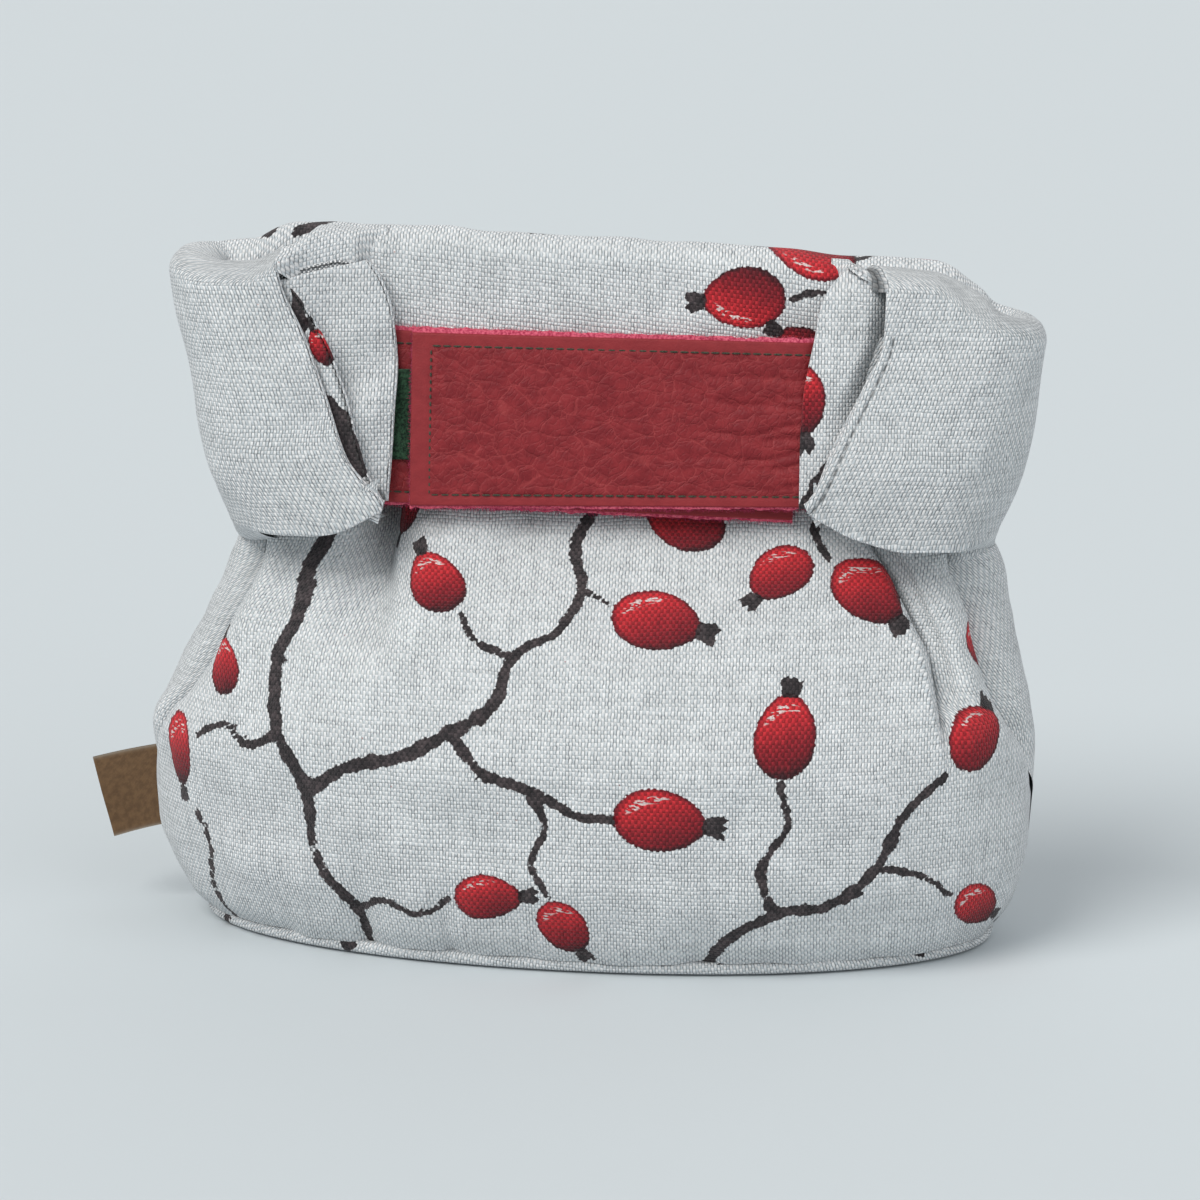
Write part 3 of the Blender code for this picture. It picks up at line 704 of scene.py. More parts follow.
def leather_material(name):
    g = Graph(name)
    s, t = g.flat()
    s_bent = s + (g.noise((s, t), 0.22) - 0.5) * 3.4
    t_bent = t + (g.noise((s, t, 6.0), 0.22) - 0.5) * 3.0
    large = g.cells((s_bent + t_bent * 0.5, t_bent * 1.5), 0.13)
    small = g.cells((s_bent * 1.25, t_bent + s_bent * -0.45, 31.0), 0.40)
    tiny = g.cells((s_bent, t_bent, 5.0), 1.05)
    pores = g.noise((s, t, 4.0), 2.6, 3.0, 0.6)
    cloudy = g.noise((s, t, 8.0), 0.13)
    mottle = g.noise((s * 0.8, t, 21.0), 0.30, 3.0, 0.6)
    border = g.field("border")
    inner = g.span(border, 0.0, 1.0, 1.0, 0.15)
    crease = g.span(large, 0.034, 0.0) * g.span(cloudy, 0.30, 0.50, 0.35, 1.0)
    fine_crease = g.span(small, 0.050, 0.0) * g.span(cloudy, 0.58, 0.42, 0.10, 1.0)
    lines = g.math("MAXIMUM", crease, fine_crease * 0.75) * inner
    puffed = g.span(large, 0.0, 0.16) * 0.45 + g.span(small, 0.0, 0.20) * 0.30
    base = g.mix(g.span(mottle, 0.30, 0.70), (0.178, 0.013, 0.018), (0.252, 0.023, 0.028))
    colour = g.mix(lines * 0.36, base, (0.40, 0.062, 0.062))
    colour = g.mix(border * 0.45, colour, (0.290, 0.033, 0.038))
    height = lines * -0.30 + puffed * inner + (pores * 0.10 + g.span(tiny, 0.0, 0.25) * 0.10)
    return g.finish(colour, g.span(pores, 0.2, 0.8, 0.46, 0.60), 0.22, g.bump(height, 0.00034, 0.8))


def fibre_material(name, dark, light, scale, depth, roughness=0.95):
    """Suede, pile or thread: a mottled matt surface."""
    g = Graph(name)
    mottle = g.noise(g.node("TexCoord", "Object", {}), scale, 3.0, 0.65)
    colour = g.mix(g.span(mottle, 0.34, 0.66), dark, light)
    return g.finish(colour, roughness, 0.2, g.bump(mottle, depth, 0.8), sheen=0.2)


def tab_material(name):
    g = Graph(name)
    s, t = g.flat()
    rib = g.math("SINE", t * 14.0) * g.math("SINE", s * 9.0)
    mottle = g.noise((s, t), 0.5, 3.0)
    colour = g.mix(g.span(mottle, 0.3, 0.7), (0.110, 0.058, 0.024), (0.160, 0.088, 0.038))
    colour = g.mix(g.field("border") * 0.6, colour, (0.36, 0.32, 0.26))
    return g.finish(colour, 0.55, 0.35, g.bump(rib, 0.00006, 0.6))


CANVAS = canvas_material("printed canvas")
CANVAS_PLAIN = canvas_material("plain canvas", printed=False)
LEATHER_RED = leather_material("red leather")
SUEDE = fibre_material("pink suede", (0.40, 0.030, 0.075), (0.76, 0.150, 0.22), 1300.0, 0.0003)
# A darker copy of the suede for the fuzz along the straps' lower edges and free ends: painted shade.
SUEDE_IN_PAINTED_SHADE = fibre_material("pink suede in painted shade", (0.22, 0.010, 0.045), (0.50, 0.040, 0.13), 1300.0, 0.0003)
THREAD = fibre_material("olive thread", (0.022, 0.024, 0.015), (0.075, 0.075, 0.050), 2500.0, 0.0001, 0.8)
PILE = fibre_material("green pile", (0.004, 0.015, 0.008), (0.030, 0.080, 0.042), 1300.0, 0.0006)
HOOKS = fibre_material("dark hooks", (0.008, 0.008, 0.008), (0.03, 0.03, 0.03), 1500.0, 0.0003)
TAB = tab_material("brown tab")
# ---- the front cloth ----

STEP = 1.3  # spacing of the cloths' points
# Soft waves of the cloth: height, waves along and up in 2.2 mm, and phase.
SOFT = (
    (0.31, 0.045, 0.031, 0.4), (0.27, -0.031, 0.052, 2.1), (0.20, 0.083, -0.027, 4.4),
    (0.16, 0.024, 0.097, 1.2), (0.12, 0.131, 0.061, 5.3), (0.10, -0.117, 0.112, 3.0),
)


def counted(length, step=STEP):
    return max(3, int(round(length / step)) + 1)


def unevenness(flat, shift):
    """Slight soft waves of the whole cloth."""
    return sum(a * np.sin(2 * math.pi * (k * flat[..., 0] + m * flat[..., 1]) / 2.2 + phase + shift)
               for a, k, m, phase in SOFT)


# The deep pleat on the right: where its edge runs, how deep the cloth behind it lies, and how far that is
# tucked under the edge.
PLEAT_COLUMNS = ("z", "edge", "depth", "under")
PLEAT = (
    (56.0, 101.0, 0.0, 0.0), (72.0, 97.5, 2.5, 0.3), (84.0, 94.0, 8.0, 2.0), (96.0, 90.0, 9.5, 3.0),
    (108.0, 84.2, 8.0, 2.6), (122.0, 75.2, 6.5, 2.2), (134.0, 68.5, 5.5, 2.0), (150.0, 66.0, 4.0, 1.0),
)
SEAM_DEPTH = {-1: 6.5, 1: 6.0}  # how deep the side seams lie between the rolls of cloth beside them
SEAM_ROLL = 4.5  # width of the front's rounded edge at a side seam
SEAM_HOLLOW = {-1: 6.5, 1: 10.0}  # and of the side's


def pleat(name, z):
    return float(table_curve(PLEAT, z, PLEAT_COLUMNS.index(name)))


def seam_strength(z, side):
    return SEAM_DEPTH[side] * ease(z, 44.0, 74.0) * (1 - ease(z, 122.0, 134.0))


# Small creases of the front: as in FRONT_FOLDS.
FRONT_CREASES = (
    (-72.0, -78.0, 132.0, 86.0, 1.6, 9.0),
    (-21.0, -26.0, 140.0, 112.0, 1.3, 9.0),
    (6.0, 10.0, 140.0, 116.0, 1.1, 10.0),
    (40.0, 47.0, 140.0, 104.0, 1.2, 11.0),
    (62.0, 74.0, 138.0, 92.0, 1.5, 8.0),
    (-90.0, -104.0, 118.0, 66.0, 1.5, 8.0),
    (-71.0, -67.0, 34.0, 3.0, 1.8, 5.0),
    (-45.0, -42.0, 28.0, 3.0, 1.5, 4.5),
    (-96.0, -92.0, 24.0, 3.0, 1.2, 6.0),
    (34.0, 30.0, 26.0, 3.0, 1.0, 7.0),
    (72.0, 68.0, 30.0, 3.0, 1.2, 8.0),
)


def stepped(x, z):
    """The pleat under the strap's left end: a long slope into the bag and a steep way out of it."""
    edge = -61.5 - 7.0 * (1 - ease(z, 88.0, 122.0))
    depth = 10.5 * ease(z, 82.0, 126.0) * (1 - ease(z, 140.0, 152.0))
    steep = 2.0 + 11.0 * (1 - ease(z, 92.0, 119.0))
    away = x - edge
    valley = np.where(away < 0, np.exp(-((away / 11.0) ** 2)), 1 - ease(away, 0.0, steep))
    return depth * (valley - 0.16 * bump(away, steep + 4.0, 8.0))


def pleated(points, away, z, width):
    """A row's points bent round the pleat. away is each point's distance past the pleat's edge."""
    depth, under = pleat("depth", z), pleat("under", z)
    strength = min(1.0, depth / 5.0)
    before = 1.5 * strength * np.exp(-((away / 8.0) ** 2)) * (away < 0)
    path = (0.0, 0.8, 1.6, 3.0, 4.2, 5.4, 6.6, 9.0)
    aside = np.interp(away, path, (0.0, 0.9, 0.0, -under, -0.5 * under, 1.1, 3.4, 9.0))
    back = np.interp(away, path, (0.0, 0.9, 1.9, *(share * depth for share in (0.6, 0.74, 0.58, 0.34, 0.16))))
    inside = (away > 0) & (away < path[-1])
    points[:, 0] += np.where(inside, (aside - away) * strength, 0.0)
    slope = 0.16 * depth * (1 - ease(away, 8.0, 0.55 * width))
    slope -= 1.6 * strength * bump(away, 0.6 * width, 0.36 * width)
    points[:, 1] += np.where(away > path[-1], slope, np.where(inside, back * strength, -before))


def front_row(z, side):
    """One half of the front's row, from the middle to the side seam and a little way behind it."""
    outline = body_outline(z, side, np.linspace(-90.0, seam_angle(z, side), 140))
    run = run_of(outline)
    total = run[-1]
    edge = float(np.interp(pleat("edge", z), np.abs(outline[:, 0]), run))
    far = max(edge + 10.0, total - 6.0)
    stops = ((0.0, edge - 3.0, 62), (edge - 3.0, edge + 9.0, 26), (edge + 9.0, far, 14), (far, total, 12))
    if side < 0:
        edge = float(np.interp(64.0, np.abs(outline[:, 0]), run))
        stops = ((0.0, edge - 7.0, 46), (edge - 7.0, edge + 6.0, 28), (edge + 6.0, total - 14.0, 32),
                 (total - 14.0, total, 20))
    at = np.concatenate([np.linspace(low, high, count)[:-1] for low, high, count in stops] + [[total]])
    shares = at / total
    points = resample(outline, shares)
    open_part = 1 - ease(shares, 0.9, 1.0)
    for folds in (FRONT_FOLDS, FRONT_CREASES):
        points[:, 1] += fold_depth(points[:, 0], z, folds) * open_part
    points[:, 1] += stepped(points[:, 0], z)
    if side > 0:
        pleated(points, at - edge, z, total - edge)
    points = drawn_to_seam(points, shares, z, side)
    inward, depth = seam_inward(z, side), float(seam_strength(z, side))
    left_over = np.clip((total - at) / SEAM_ROLL, 0.0, 1.0)
    roll = 1 - np.sqrt(np.clip(1 - (1 - left_over) ** 2, 0.0, 1.0))
    swell = 0.25 * bump(total - at, SEAM_ROLL + 3.0, 9.0)
    points = points + inward * (depth * (roll - swell))[:, None]
    behind = body_outline(z, side, seam_angle(z, side) + np.linspace(3.0, 38.0, BEHIND_SEAM))
    sunk = (depth + 2.5 * float(ease(z, 52.0, 70.0))) * (1 - float(ease(z, 111.0, 118.5)))
    sunk += 1.1 - 2.6 * float(ease(z, 115.0, 121.0))
    points = np.concatenate([points, behind + inward * sunk])
    # Painted shade: in the crease at the side seam, in the crack of the right pleat and the valley of the
    # left one, and on the cloth behind the seam.
    shade = 0.45 * bump(total - at, 0.0, 3.2) * min(1.0, depth / 4.0)
    if side > 0:
        shade = shade + 0.85 * bump(at - edge, 3.6, 3.4) * min(1.0, pleat("depth", z) / 6.0)
    else:
        shade = shade + 0.42 * bump(at - edge, 2.0, 8.0) * ease(z, 96.0, 124.0)
    shade = np.concatenate([shade, np.full(len(behind), 0.2)])
    return np.column_stack([points, np.full(len(points), z), shade])


BEHIND_SEAM = 7
CLOSED_FROM = 38.0  # above this the front goes on a little way behind the seam, under the back cloth


def front_cloth():
    """The front of the belly, from the base seam up behind the flap."""
    heights = np.concatenate([np.linspace(BODY_FOOT, 140.0, counted(158.0)), np.linspace(142.5, 194.0, 16)])
    rows = []
    for z in heights:
        left, right = front_row(z, -1), front_row(z, 1)
        rows.append(np.concatenate([left[::-1], right[1:]]))
    rows = np.array(rows)
    grid, shade = rows[..., :3], rows[..., 3]
    middle = len(left) - 1
    up = np.repeat(run_of(grid[:, middle])[:, None], grid.shape[1], 1)
    flat = np.stack([row_lengths(grid, middle), up], -1)
    normals = grid_normals(smoothed(grid))
    grid = grid + normals * (CLOTH / 2 + unevenness(flat, 0.0))[..., None]
    kept = np.ones((grid.shape[0] - 1, grid.shape[1] - 1), bool)
    low = heights[:-1] < CLOSED_FROM
    kept[np.ix_(low, np.r_[0:BEHIND_SEAM, kept.shape[1] - BEHIND_SEAM : kept.shape[1]])] = False
    patch = Patch()
    patch.add(grid, flat, kept, shade=shade, **painted(flat, FRONT_TWIGS, FRONT_BERRIES, 11))
    obj = patch.build("front_cloth", CANVAS, "front_panel")


def smoothed(grid):
    """A grid evened out, its border kept."""
    for _ in range(2):
        inner = (grid[:-2, 1:-1] + grid[2:, 1:-1] + grid[1:-1, :-2] + grid[1:-1, 2:]) / 4
        grid = grid.copy()
        grid[1:-1, 1:-1] = (grid[1:-1, 1:-1] + inner) / 2
    return grid


# ---- the back cloth with the folded band ----

# The free edges of the turned in ends: height, and distance from the middle.
TIPS = {
    -1: ((120.0, 57.0), (133.6, 62.8), (140.0, 69.0), (147.0, 74.3), (165.0, 80.6), (182.0, 87.0),
         (197.0, 94.0), (212.0, 97.0)),
    1: ((120.0, 56.0), (133.0, 58.5), (140.0, 63.2), (156.0, 70.2), (170.0, 77.0), (183.0, 82.0),
        (196.0, 82.5), (206.0, 81.0), (212.0, 80.0)),
}


def back_row(z, side, columns):
    """One half of the back cloth's row on the filled body. Columns past the side seam stay at the seam."""
    shares = np.interp(columns, [0, BACK_STRAIGHT, EAR_START], [0.0, 0.5, 1.0])
    outline = body_outline(z, side, np.linspace(90.0, seam_angle(z, side), 140))
    total = run_of(outline)[-1]
    points = resample(outline, shares)
    points[:, 1] -= fold_depth(points[:, 0], z, BACK_FOLDS) * (1 - ease(columns, 7.0, 12.0))
    points = drawn_to_seam(points, np.clip(columns / EAR_START, 0.0, 1.0), z, side)
    near = np.clip(1 - (1 - shares) * total / SEAM_HOLLOW[side], 0.0, 1.0)
    swell = 0.3 * bump((1 - shares) * total, SEAM_HOLLOW[side] + 4.0, 14.0)
    points = points + seam_inward(z, side) * (float(seam_strength(z, side)) * (near**1.6 - swell))[:, None]
    return np.column_stack([points, np.full(len(points), z)])


def band_points(z, side, layer, columns):
    """Points of the folded band in plan, at a height for each column."""
    name = "left" if side < 0 else "right"
    back, flap, ear = band("back", z), band("flap", z), band("ear", z)
    outer_radius = (back - ear) / 2
    centre_x = band(name, z) - outer_radius
    if layer == OUTER:
        middle_y, edge_y, radius = body("back", z), back, outer_radius
        tip, tip_y = table_curve(TIPS[side], z, 1), ear + TIP_BACK[side]
    else:
        middle_y, edge_y = flap, flap + 0.5
        near = 1.5 + (INNER_LIFT[side] - 4.5) * (1 - ease(z, 182.0, 192.0))
        tip, tip_y = band("in_" + name, z) + 5.0, flap - near
        if side < 0:
            tip = tip + 20.0 * ease(z, 184.0, 196.0)
        radius = (flap - tip_y) / 2 + 0.5
        centre_x = centre_x + 2.0
    centre_y = edge_y - radius
    t = np.clip(columns / BACK_STRAIGHT, 0.0, 1.0)
    x = centre_x * t
    y = middle_y + (edge_y - middle_y) * t**3
    if layer == OUTER:
        y = y - fold_depth(side * x, z, BACK_FOLDS) * (1 - ease(columns, 6.0, 8.8))
    angle = math.pi / 2 - math.pi * np.clip((columns - BACK_STRAIGHT) / BACK_ROUND, 0.0, 1.0)
    on_round = columns > BACK_STRAIGHT
    x = np.where(on_round, centre_x + radius * np.cos(angle), x)
    y = np.where(on_round, centre_y + radius * np.sin(angle), y)
    t = np.clip((columns - BACK_STRAIGHT - BACK_ROUND) / BACK_EAR, 0.0, 1.0)
    on_ear = columns > BACK_STRAIGHT + BACK_ROUND
    x = np.where(on_ear, centre_x + (tip - centre_x) * t, x)
    y = np.where(on_ear, centre_y - radius + (tip_y - centre_y + radius) * t * t, y)
    return np.stack([side * x, y], axis=-1)


FOLD_RADIUS = 7.0


def fold_radius(columns):
    return FOLD_RADIUS - 1.5 * ease(columns, BACK_STRAIGHT, BACK_STRAIGHT + BACK_ROUND)


def band_row(side, layer, step, columns):
    """A half's row in the band, from its lower edge, step 0, up to where the top fold begins, step 1."""
    out = ease(columns, BACK_STRAIGHT, BACK_STRAIGHT + BACK_ROUND)
    tip = np.clip((columns - BACK_STRAIGHT - BACK_ROUND) / BACK_EAR, 0.0, 1.0)
    reach = band_points(np.full(len(columns), 196.0), side, OUTER, columns)[:, 0]
    if layer == OUTER:
        foot = EAR_FOOT[side][0] + (EAR_FOOT[side][1] - EAR_FOOT[side][0]) * tip**1.4
        foot = BAND_START + (foot - BAND_START) * out
    else:
        foot = FLAP_FOOT + 1.5 * tip
    top = ridge(reach) - EAR_DROP[side] * out - fold_radius(columns)
    z = foot + (top - foot) * step
    return np.column_stack([band_points(z, side, layer, columns), z])


BACK_SPANS = ((0, BACK_STRAIGHT, 68), (BACK_STRAIGHT, EAR_START, 72), (EAR_START, 18, 9),
              (18, 23.4, 31), (23.4, BACK_END, 10))
BACK_TWIGS = moved(FRONT_TWIGS, 6, 8, mirror=True) + (
    ((97, 167, 3.2), (92, 180, 2.8), (99, 194, 2.6), (95, 212, 2.4)),
    ((93, 178, 2.0), (78, 184, 1.8), (62, 181, 1.6), (50, 188, 1.3)),
    ((-6, 158, 1.7), (-14, 170, 1.5), (-30, 176, 1.4), (-44, 172, 1.2)),
    ((-14, 170, 1.3), (-12, 184, 1.2), (-18, 196, 1.0)),
    ((-118, 150, 1.8), (-104, 160, 1.7), (-92, 176, 1.6), (-96, 196, 1.8)),
    ((-92, 176, 1.2), (-80, 180, 1.0)),
)
BACK_BERRIES = moved(FRONT_BERRIES, 6, 8, mirror=True) + (
    (38, 192, 25, 17.5, 160), (74, 196, 20, 15, 70), (-56, 168, 25, 18, 190), (-19, 207, 22, 16, 100),
    (-70, 184, 20, 14.5, 20), (-118, 176, 21, 15, 110), (120, 186, 22, 16, 40),
)
# Marks of the flap: upwards there is down on the back, so these are given in the flap's own coordinates.
FLAP_TWIGS = (
    ((74, -14, 1.6), (70, 4, 1.8), (72, 18, 1.7), (66, 30, 1.6), (68, 46, 1.6)),
    ((72, 18, 1.2), (62, 14, 1.1), (54, 16, 0.9)),
    ((70, 4, 1.1), (78, -2, 1.0)),
    ((-92, 6, 2.2), (-84, 0, 2.0), (-78, -7, 1.8)),
)
FLAP_BERRIES = (
    (40, 17, 25, 17.5, 172),
    (59, 1, 27, 18, 196),
    (58, 31, 19, 14, 212),
    (92, -8, 22, 16, 10),
    (-98, -10, 20, 15, 100),
)


def back_half(side, columns):
    body_rows = [back_row(z, side, columns) for z in np.linspace(BODY_FOOT, BODY_TOP, counted(125.0, 1.5))]
    outer = [band_row(side, OUTER, step, columns) for step in even_shares(counted(76.0, 1.5))]
    flap = [band_row(side, INNER, step, columns) for step in even_shares(counted(68.0, 1.5))[::-1]]
    ledge = []
    for t in even_shares(9)[1:-1]:
        sag = np.array([0.0, 1.0, 0.8]) * math.sin(math.pi * t)
        ledge.append(outer[0] * t + body_rows[-1] * (1 - t) - sag)
    fold = []
    for turn in np.linspace(0.0, math.pi, 19)[1:-1]:
        row = (outer[-1] + flap[0]) / 2 + (outer[-1] - flap[0]) / 2 * math.cos(turn)
        row[:, 2] += fold_radius(columns) * math.sin(turn)
        fold.append(row)
    parts = (body_rows, ledge, outer, fold, flap)
    return np.array([row for part in parts for row in part]), [len(part) for part in parts]


def print_of(flat, name):
    """The print's fields on one of the cloths."""
    marks = {
        "back": (BACK_TWIGS, BACK_BERRIES, 12),
        "flap": (FLAP_TWIGS, FLAP_BERRIES, 13),
        "left end": (LEFT_END_TWIGS, LEFT_END_BERRIES, 14),
        "right end": (RIGHT_END_TWIGS, RIGHT_END_BERRIES, 15),
        "base": (BASE_TWIGS, BASE_BERRIES, 16),
        "plain": ((), (), 17),
    }
    return painted(flat, *marks[name])


def edge_roll(patch, face, flat, normals, rows, columns, step, half=0.9, name=None, level=False):
    """Adds the turned edge of part of a grid, away from step. A level one is turned straight down."""
    i, j = np.broadcast_arrays(rows, columns)
    inner = (i + step[0], j + step[1])
    above = face[i, j] + np.array([0.0, 0.0, 1.0]) if level else face[inner]
    grid, coords = rolled(face[i, j], above, normals[i, j], flat[i, j], flat[inner], half, 7.0)
    patch.add(grid, coords, **(print_of(coords, name) if name else {}))


def back_cloth():
    """The back of the belly, the band with its turned in ends, the top fold and the flap."""
    spans = [np.linspace(low, high, count)[:-1] for low, high, count in BACK_SPANS]
    columns = np.concatenate([*spans, [BACK_END]])
    (left, counts), (right, _) = back_half(-1, columns), back_half(1, columns)
    grid = np.concatenate([left[:, ::-1], right[:, 1:]], axis=1)
    middle, across = len(columns) - 1, grid.shape[1]
    starts = np.cumsum([0, *counts])
    outer, fold, flap = [slice(a, b) for a, b in zip(starts, starts[1:])][2:]
    # Up the cloth: along the body, then along the band, round the fold and down the flap.
    up = np.repeat(run_of(grid[:, middle])[:, None], across, 1)
    up[outer] = up[starts[2], middle] + grid[outer, :, 2] - BAND_START
    turn = np.linspace(0.0, math.pi, counts[3] + 2)[1:-1]
    up[fold] = up[starts[3] - 1] + FOLD_RADIUS * turn[:, None]
    up[flap] = up[starts[3] - 1] + FOLD_RADIUS * math.pi + grid[starts[4], :, 2] - grid[flap, :, 2]
    along = row_lengths(grid, middle)
    flat = np.stack([along, up], -1)
    normals = -grid_normals(smoothed(grid))
    lift = CLOTH / 2 + unevenness(flat, 1.0)
    # A sewn groove along the edge of the right turned in end, with painted shade in the groove and darker
    # dashes for the stitches.
    tip_away = np.abs(grid[outer, -1:, 0] - grid[outer, :, 0])
    tip_near = np.arange(across) > across - 30
    groove = np.exp(-(((tip_away - 1.5) / 0.4) ** 2)) * tip_near * (grid[outer, :, 2] < 184)
    lift[outer] -= 0.55 * groove
    stitch_shade = np.where(np.arange(groove.shape[0]) % 3 < 2, 0.55, 0.1)[:, None]
    # The turned in ends show the cloth's greyer inner side, and painted shade, more on the right end and
    # towards their lower edges.
    signed = np.concatenate([-columns[::-1], columns[1:]])
    greyer_side_and_shade = 0.08 * ease(-signed, 12.0, 17.0) + 0.15 * ease(signed, 12.0, 17.0)
    greyer_side_and_shade = greyer_side_and_shade + 0.11 * (1 - ease(grid[..., 2], 126.0, 166.0)) * ease(np.abs(signed), 12.0, 17.0)
    shade = np.where(np.arange(len(grid))[:, None] >= starts[2], greyer_side_and_shade, 0.0)
    shade[outer] += groove * stitch_shade
    face = grid + normals * lift[..., None]
    kept = np.ones((grid.shape[0] - 1, across - 1), bool)
    past = int(np.sum(columns > EAR_START))
    kept[: starts[2], :past] = False
    kept[: starts[2], -past:] = False
    # The print of the back, and that of the flap, which begins near the top fold. Both show where they meet.
    fields = print_of(flat, "back")
    flap_fields = print_of(np.stack([along, up - up[starts[3] - 1] - 11.0], -1), "flap")
    joined = slice(starts[3] - 14, starts[4])
    nearer = flap_fields["red"] < fields["red"]
    nearer[: joined.start] = False
    for name in ("size", "lit"):
        fields[name] = np.where(nearer, flap_fields[name], fields[name])
    for name in ("twig", "red", "tip"):
        fields[name][joined.stop :] = flap_fields[name][joined.stop :]
        fields[name][joined] = np.minimum(fields[name][joined], flap_fields[name][joined])
    patch = Patch()
    patch.add(face, flat, kept, flip=True, shade=shade, **fields)
    sheet = face, flat, normals
    edge_roll(patch, *sheet, np.arange(starts[2], starts[3]), 0, (0, 1), half=1.1)
    edge_roll(patch, *sheet, np.arange(starts[2], starts[3]), across - 1, (0, -1), half=1.3)
    on_left, on_right = np.arange(past + 1), np.arange(across - past - 1, across)
    for picked in (on_left[4:], on_right[:-4]):
        edge_roll(patch, *sheet, starts[2], picked, (1, 0), half=1.2, level=True)
    ear = columns[-past - 1 :]
    for picked, at in ((on_left, ear[::-1]), (on_right, ear)):
        shelf(patch, grid, flat, (starts[2], starts[1] - 1), picked, at)
    edge_roll(patch, *sheet, grid.shape[0] - 1, np.arange(past + 20, across - past - 20), (-1, 0))
    for side in (-1, 1):
        gusset(patch, face, starts, side)
        inner_end(patch, side)
        speckled_strip(patch, side)
    for side, rows in SLIVERS:
        sliver(patch, side, rows)
    obj = patch.build("back_cloth", CANVAS, "back_panel")
    # The plain inner side of the turned in ends and the flap.
    coarse = Patch()
    coarse.add((grid - normals * CLOTH / 2)[starts[2] :: 4, ::4], flat[starts[2] :: 4, ::4])
    coarse.build("back_cloth_inside", CANVAS_PLAIN)


# Where the corner cloth leaves the flap's end, and where it has sunk away.
GUSSET_END = {-1: (75.0, 65.0), 1: (73.0, 65.0)}


def gusset(patch, face, starts, side):
    """The cloth that closes the corner between a turned in end's top, the ridge and the flap's end."""
    tip = 0 if side < 0 else face.shape[1] - 1
    arch = face[starts[3] - 1 : starts[4] + 1, tip][::-1]
    t = even_shares(len(arch))
    half = slice(0, face.shape[1] // 2 + 1) if side < 0 else slice(face.shape[1] // 2, None)
    crest = face[(starts[3] + starts[4]) // 2, half]
    crest = crest[np.argsort(np.abs(crest[:, 0]))]
    crest = crest[: int(np.argmax(np.abs(crest[:, 0])))]
    leaves, sunk = GUSSET_END[side]
    x_tip = abs(arch[len(arch) // 2, 0])
    rows, flats, shades = [], [], []
    for x in np.linspace(x_tip, sunk, 40):
        top_y = np.interp(x, np.abs(crest[:, 0]), crest[:, 1])
        top_z = np.interp(x, np.abs(crest[:, 0]), crest[:, 2]) - 0.5
        away = float(ease(leaves - x, 0.0, leaves - sunk))
        low_z = float(end_top(side, x)) - 2.0 - 11.0 * away
        low_y = float(end_surface(side, x, low_z + 1.0)) + 3.0
        low_y += (float(band("flap", low_z)) + 2.5 - low_y) * away
        turn = t * math.pi / 2
        y = top_y + (low_y - top_y) * np.sin(turn) ** 0.6
        z = top_z + (low_z - top_z) * (1 - np.cos(turn)) ** 1.7
        blend = ease(x_tip - x, 0.0, 9.0 - 3.0 * ease(t, 0.6, 1.0))[:, None]
        row = np.stack([np.full(len(t), side * x), y, z], -1) * blend
        row += (arch + np.array([side * (x - x_tip), 0.0, 0.0])) * (1 - blend)
        groove = float(bump(x_tip - x, 2.4, 2.4)) if side > 0 else 0.0
        row += groove * np.stack([np.zeros(len(t)), 1.6 * t, -1.8 * (1 - t) - 0.8], -1)
        rows.append(row)
        run = run_of(row)
        flats.append(np.stack([np.full(len(t), side * x + 40.0), run - run[-1]], -1))
        # Painted shade in the groove beside the right end's edge.
        shades.append(np.full(len(t), 0.75 * groove))
    patch.add(np.array(rows), np.array(flats), flip=side > 0, shade=np.array(shades))


def shelf(patch, grid, flat, rows, picked, columns):
    """The cloth under a turned in end, from its lower edge in to the body."""
    first, seam = rows
    start, coords = grid[first, picked], flat[first, picked]
    low = grid[seam, picked] * np.array([0.97, 0.8, 1.0])
    aside = 0.88 + 0.20 * ease(columns, 20.5, 23.5)
    high = np.stack([start[:, 0] * aside, np.full(len(start), -10.0), start[:, 2] - 2.6], -1)
    end = low + (high - low) * ease(columns, 17.3, 19.5)[:, None]
    out, flats = [], []
    for t in even_shares(12):
        row = start + (end - start) * t
        row[:, 2] += 1.0 * math.sin(math.pi * t)
        out.append(row)
        flats.append(coords - np.array([0.0, 22.0 * t]))
    patch.add(np.array(out), np.array(flats))


# The flap's own ends turn forward over the straps: the free edge of each, and the height of its top.
END_EDGES = {
    -1: ((132.0, 63.6), (150.0, 62.3), (170.0, 61.3), (187.0, 62.6), (196.0, 65.4), (202.0, 69.5),
         (207.0, 75.0)),
    1: ((132.0, 58.0), (150.0, 58.0), (164.0, 58.5), (184.0, 62.0), (191.0, 63.2), (196.5, 65.4),
        (200.5, 69.0), (207.0, 75.0)),
}
END_TOPS = {-1: (93.2, 197.5, 0.203), 1: (70.7, 201.2, 0.44)}
END_LIFT = {-1: 8.4, 1: 10.9}
# How far the top comes forward, and over which x.
END_FORWARD = {-1: (3.2, 76.0, 93.0), 1: (4.5, 71.0, 82.0)}
END_FOOT, END_RISE = 134.0, 66.0
LEFT_END_TWIGS = (
    ((-93, 200, 3.4), (-90, 191, 3.0), (-87, 184, 2.0)),
    ((-81, 166, 1.4), (-76, 156, 3.4), (-71, 144, 3.6)),
)
LEFT_END_BERRIES = ((-81.5, 179, 12, 7, 118),)
RIGHT_END_TWIGS = (((56, 128, 2.6), (63, 141, 2.2), (70, 152, 1.8)),)
RIGHT_END_BERRIES = ((57, 165, 21, 15, -82),)


def end_top(side, x):
    at, height, slope = END_TOPS[side]
    return height + np.minimum(at - np.abs(x), 1.5 if side > 0 else 99.0) * slope


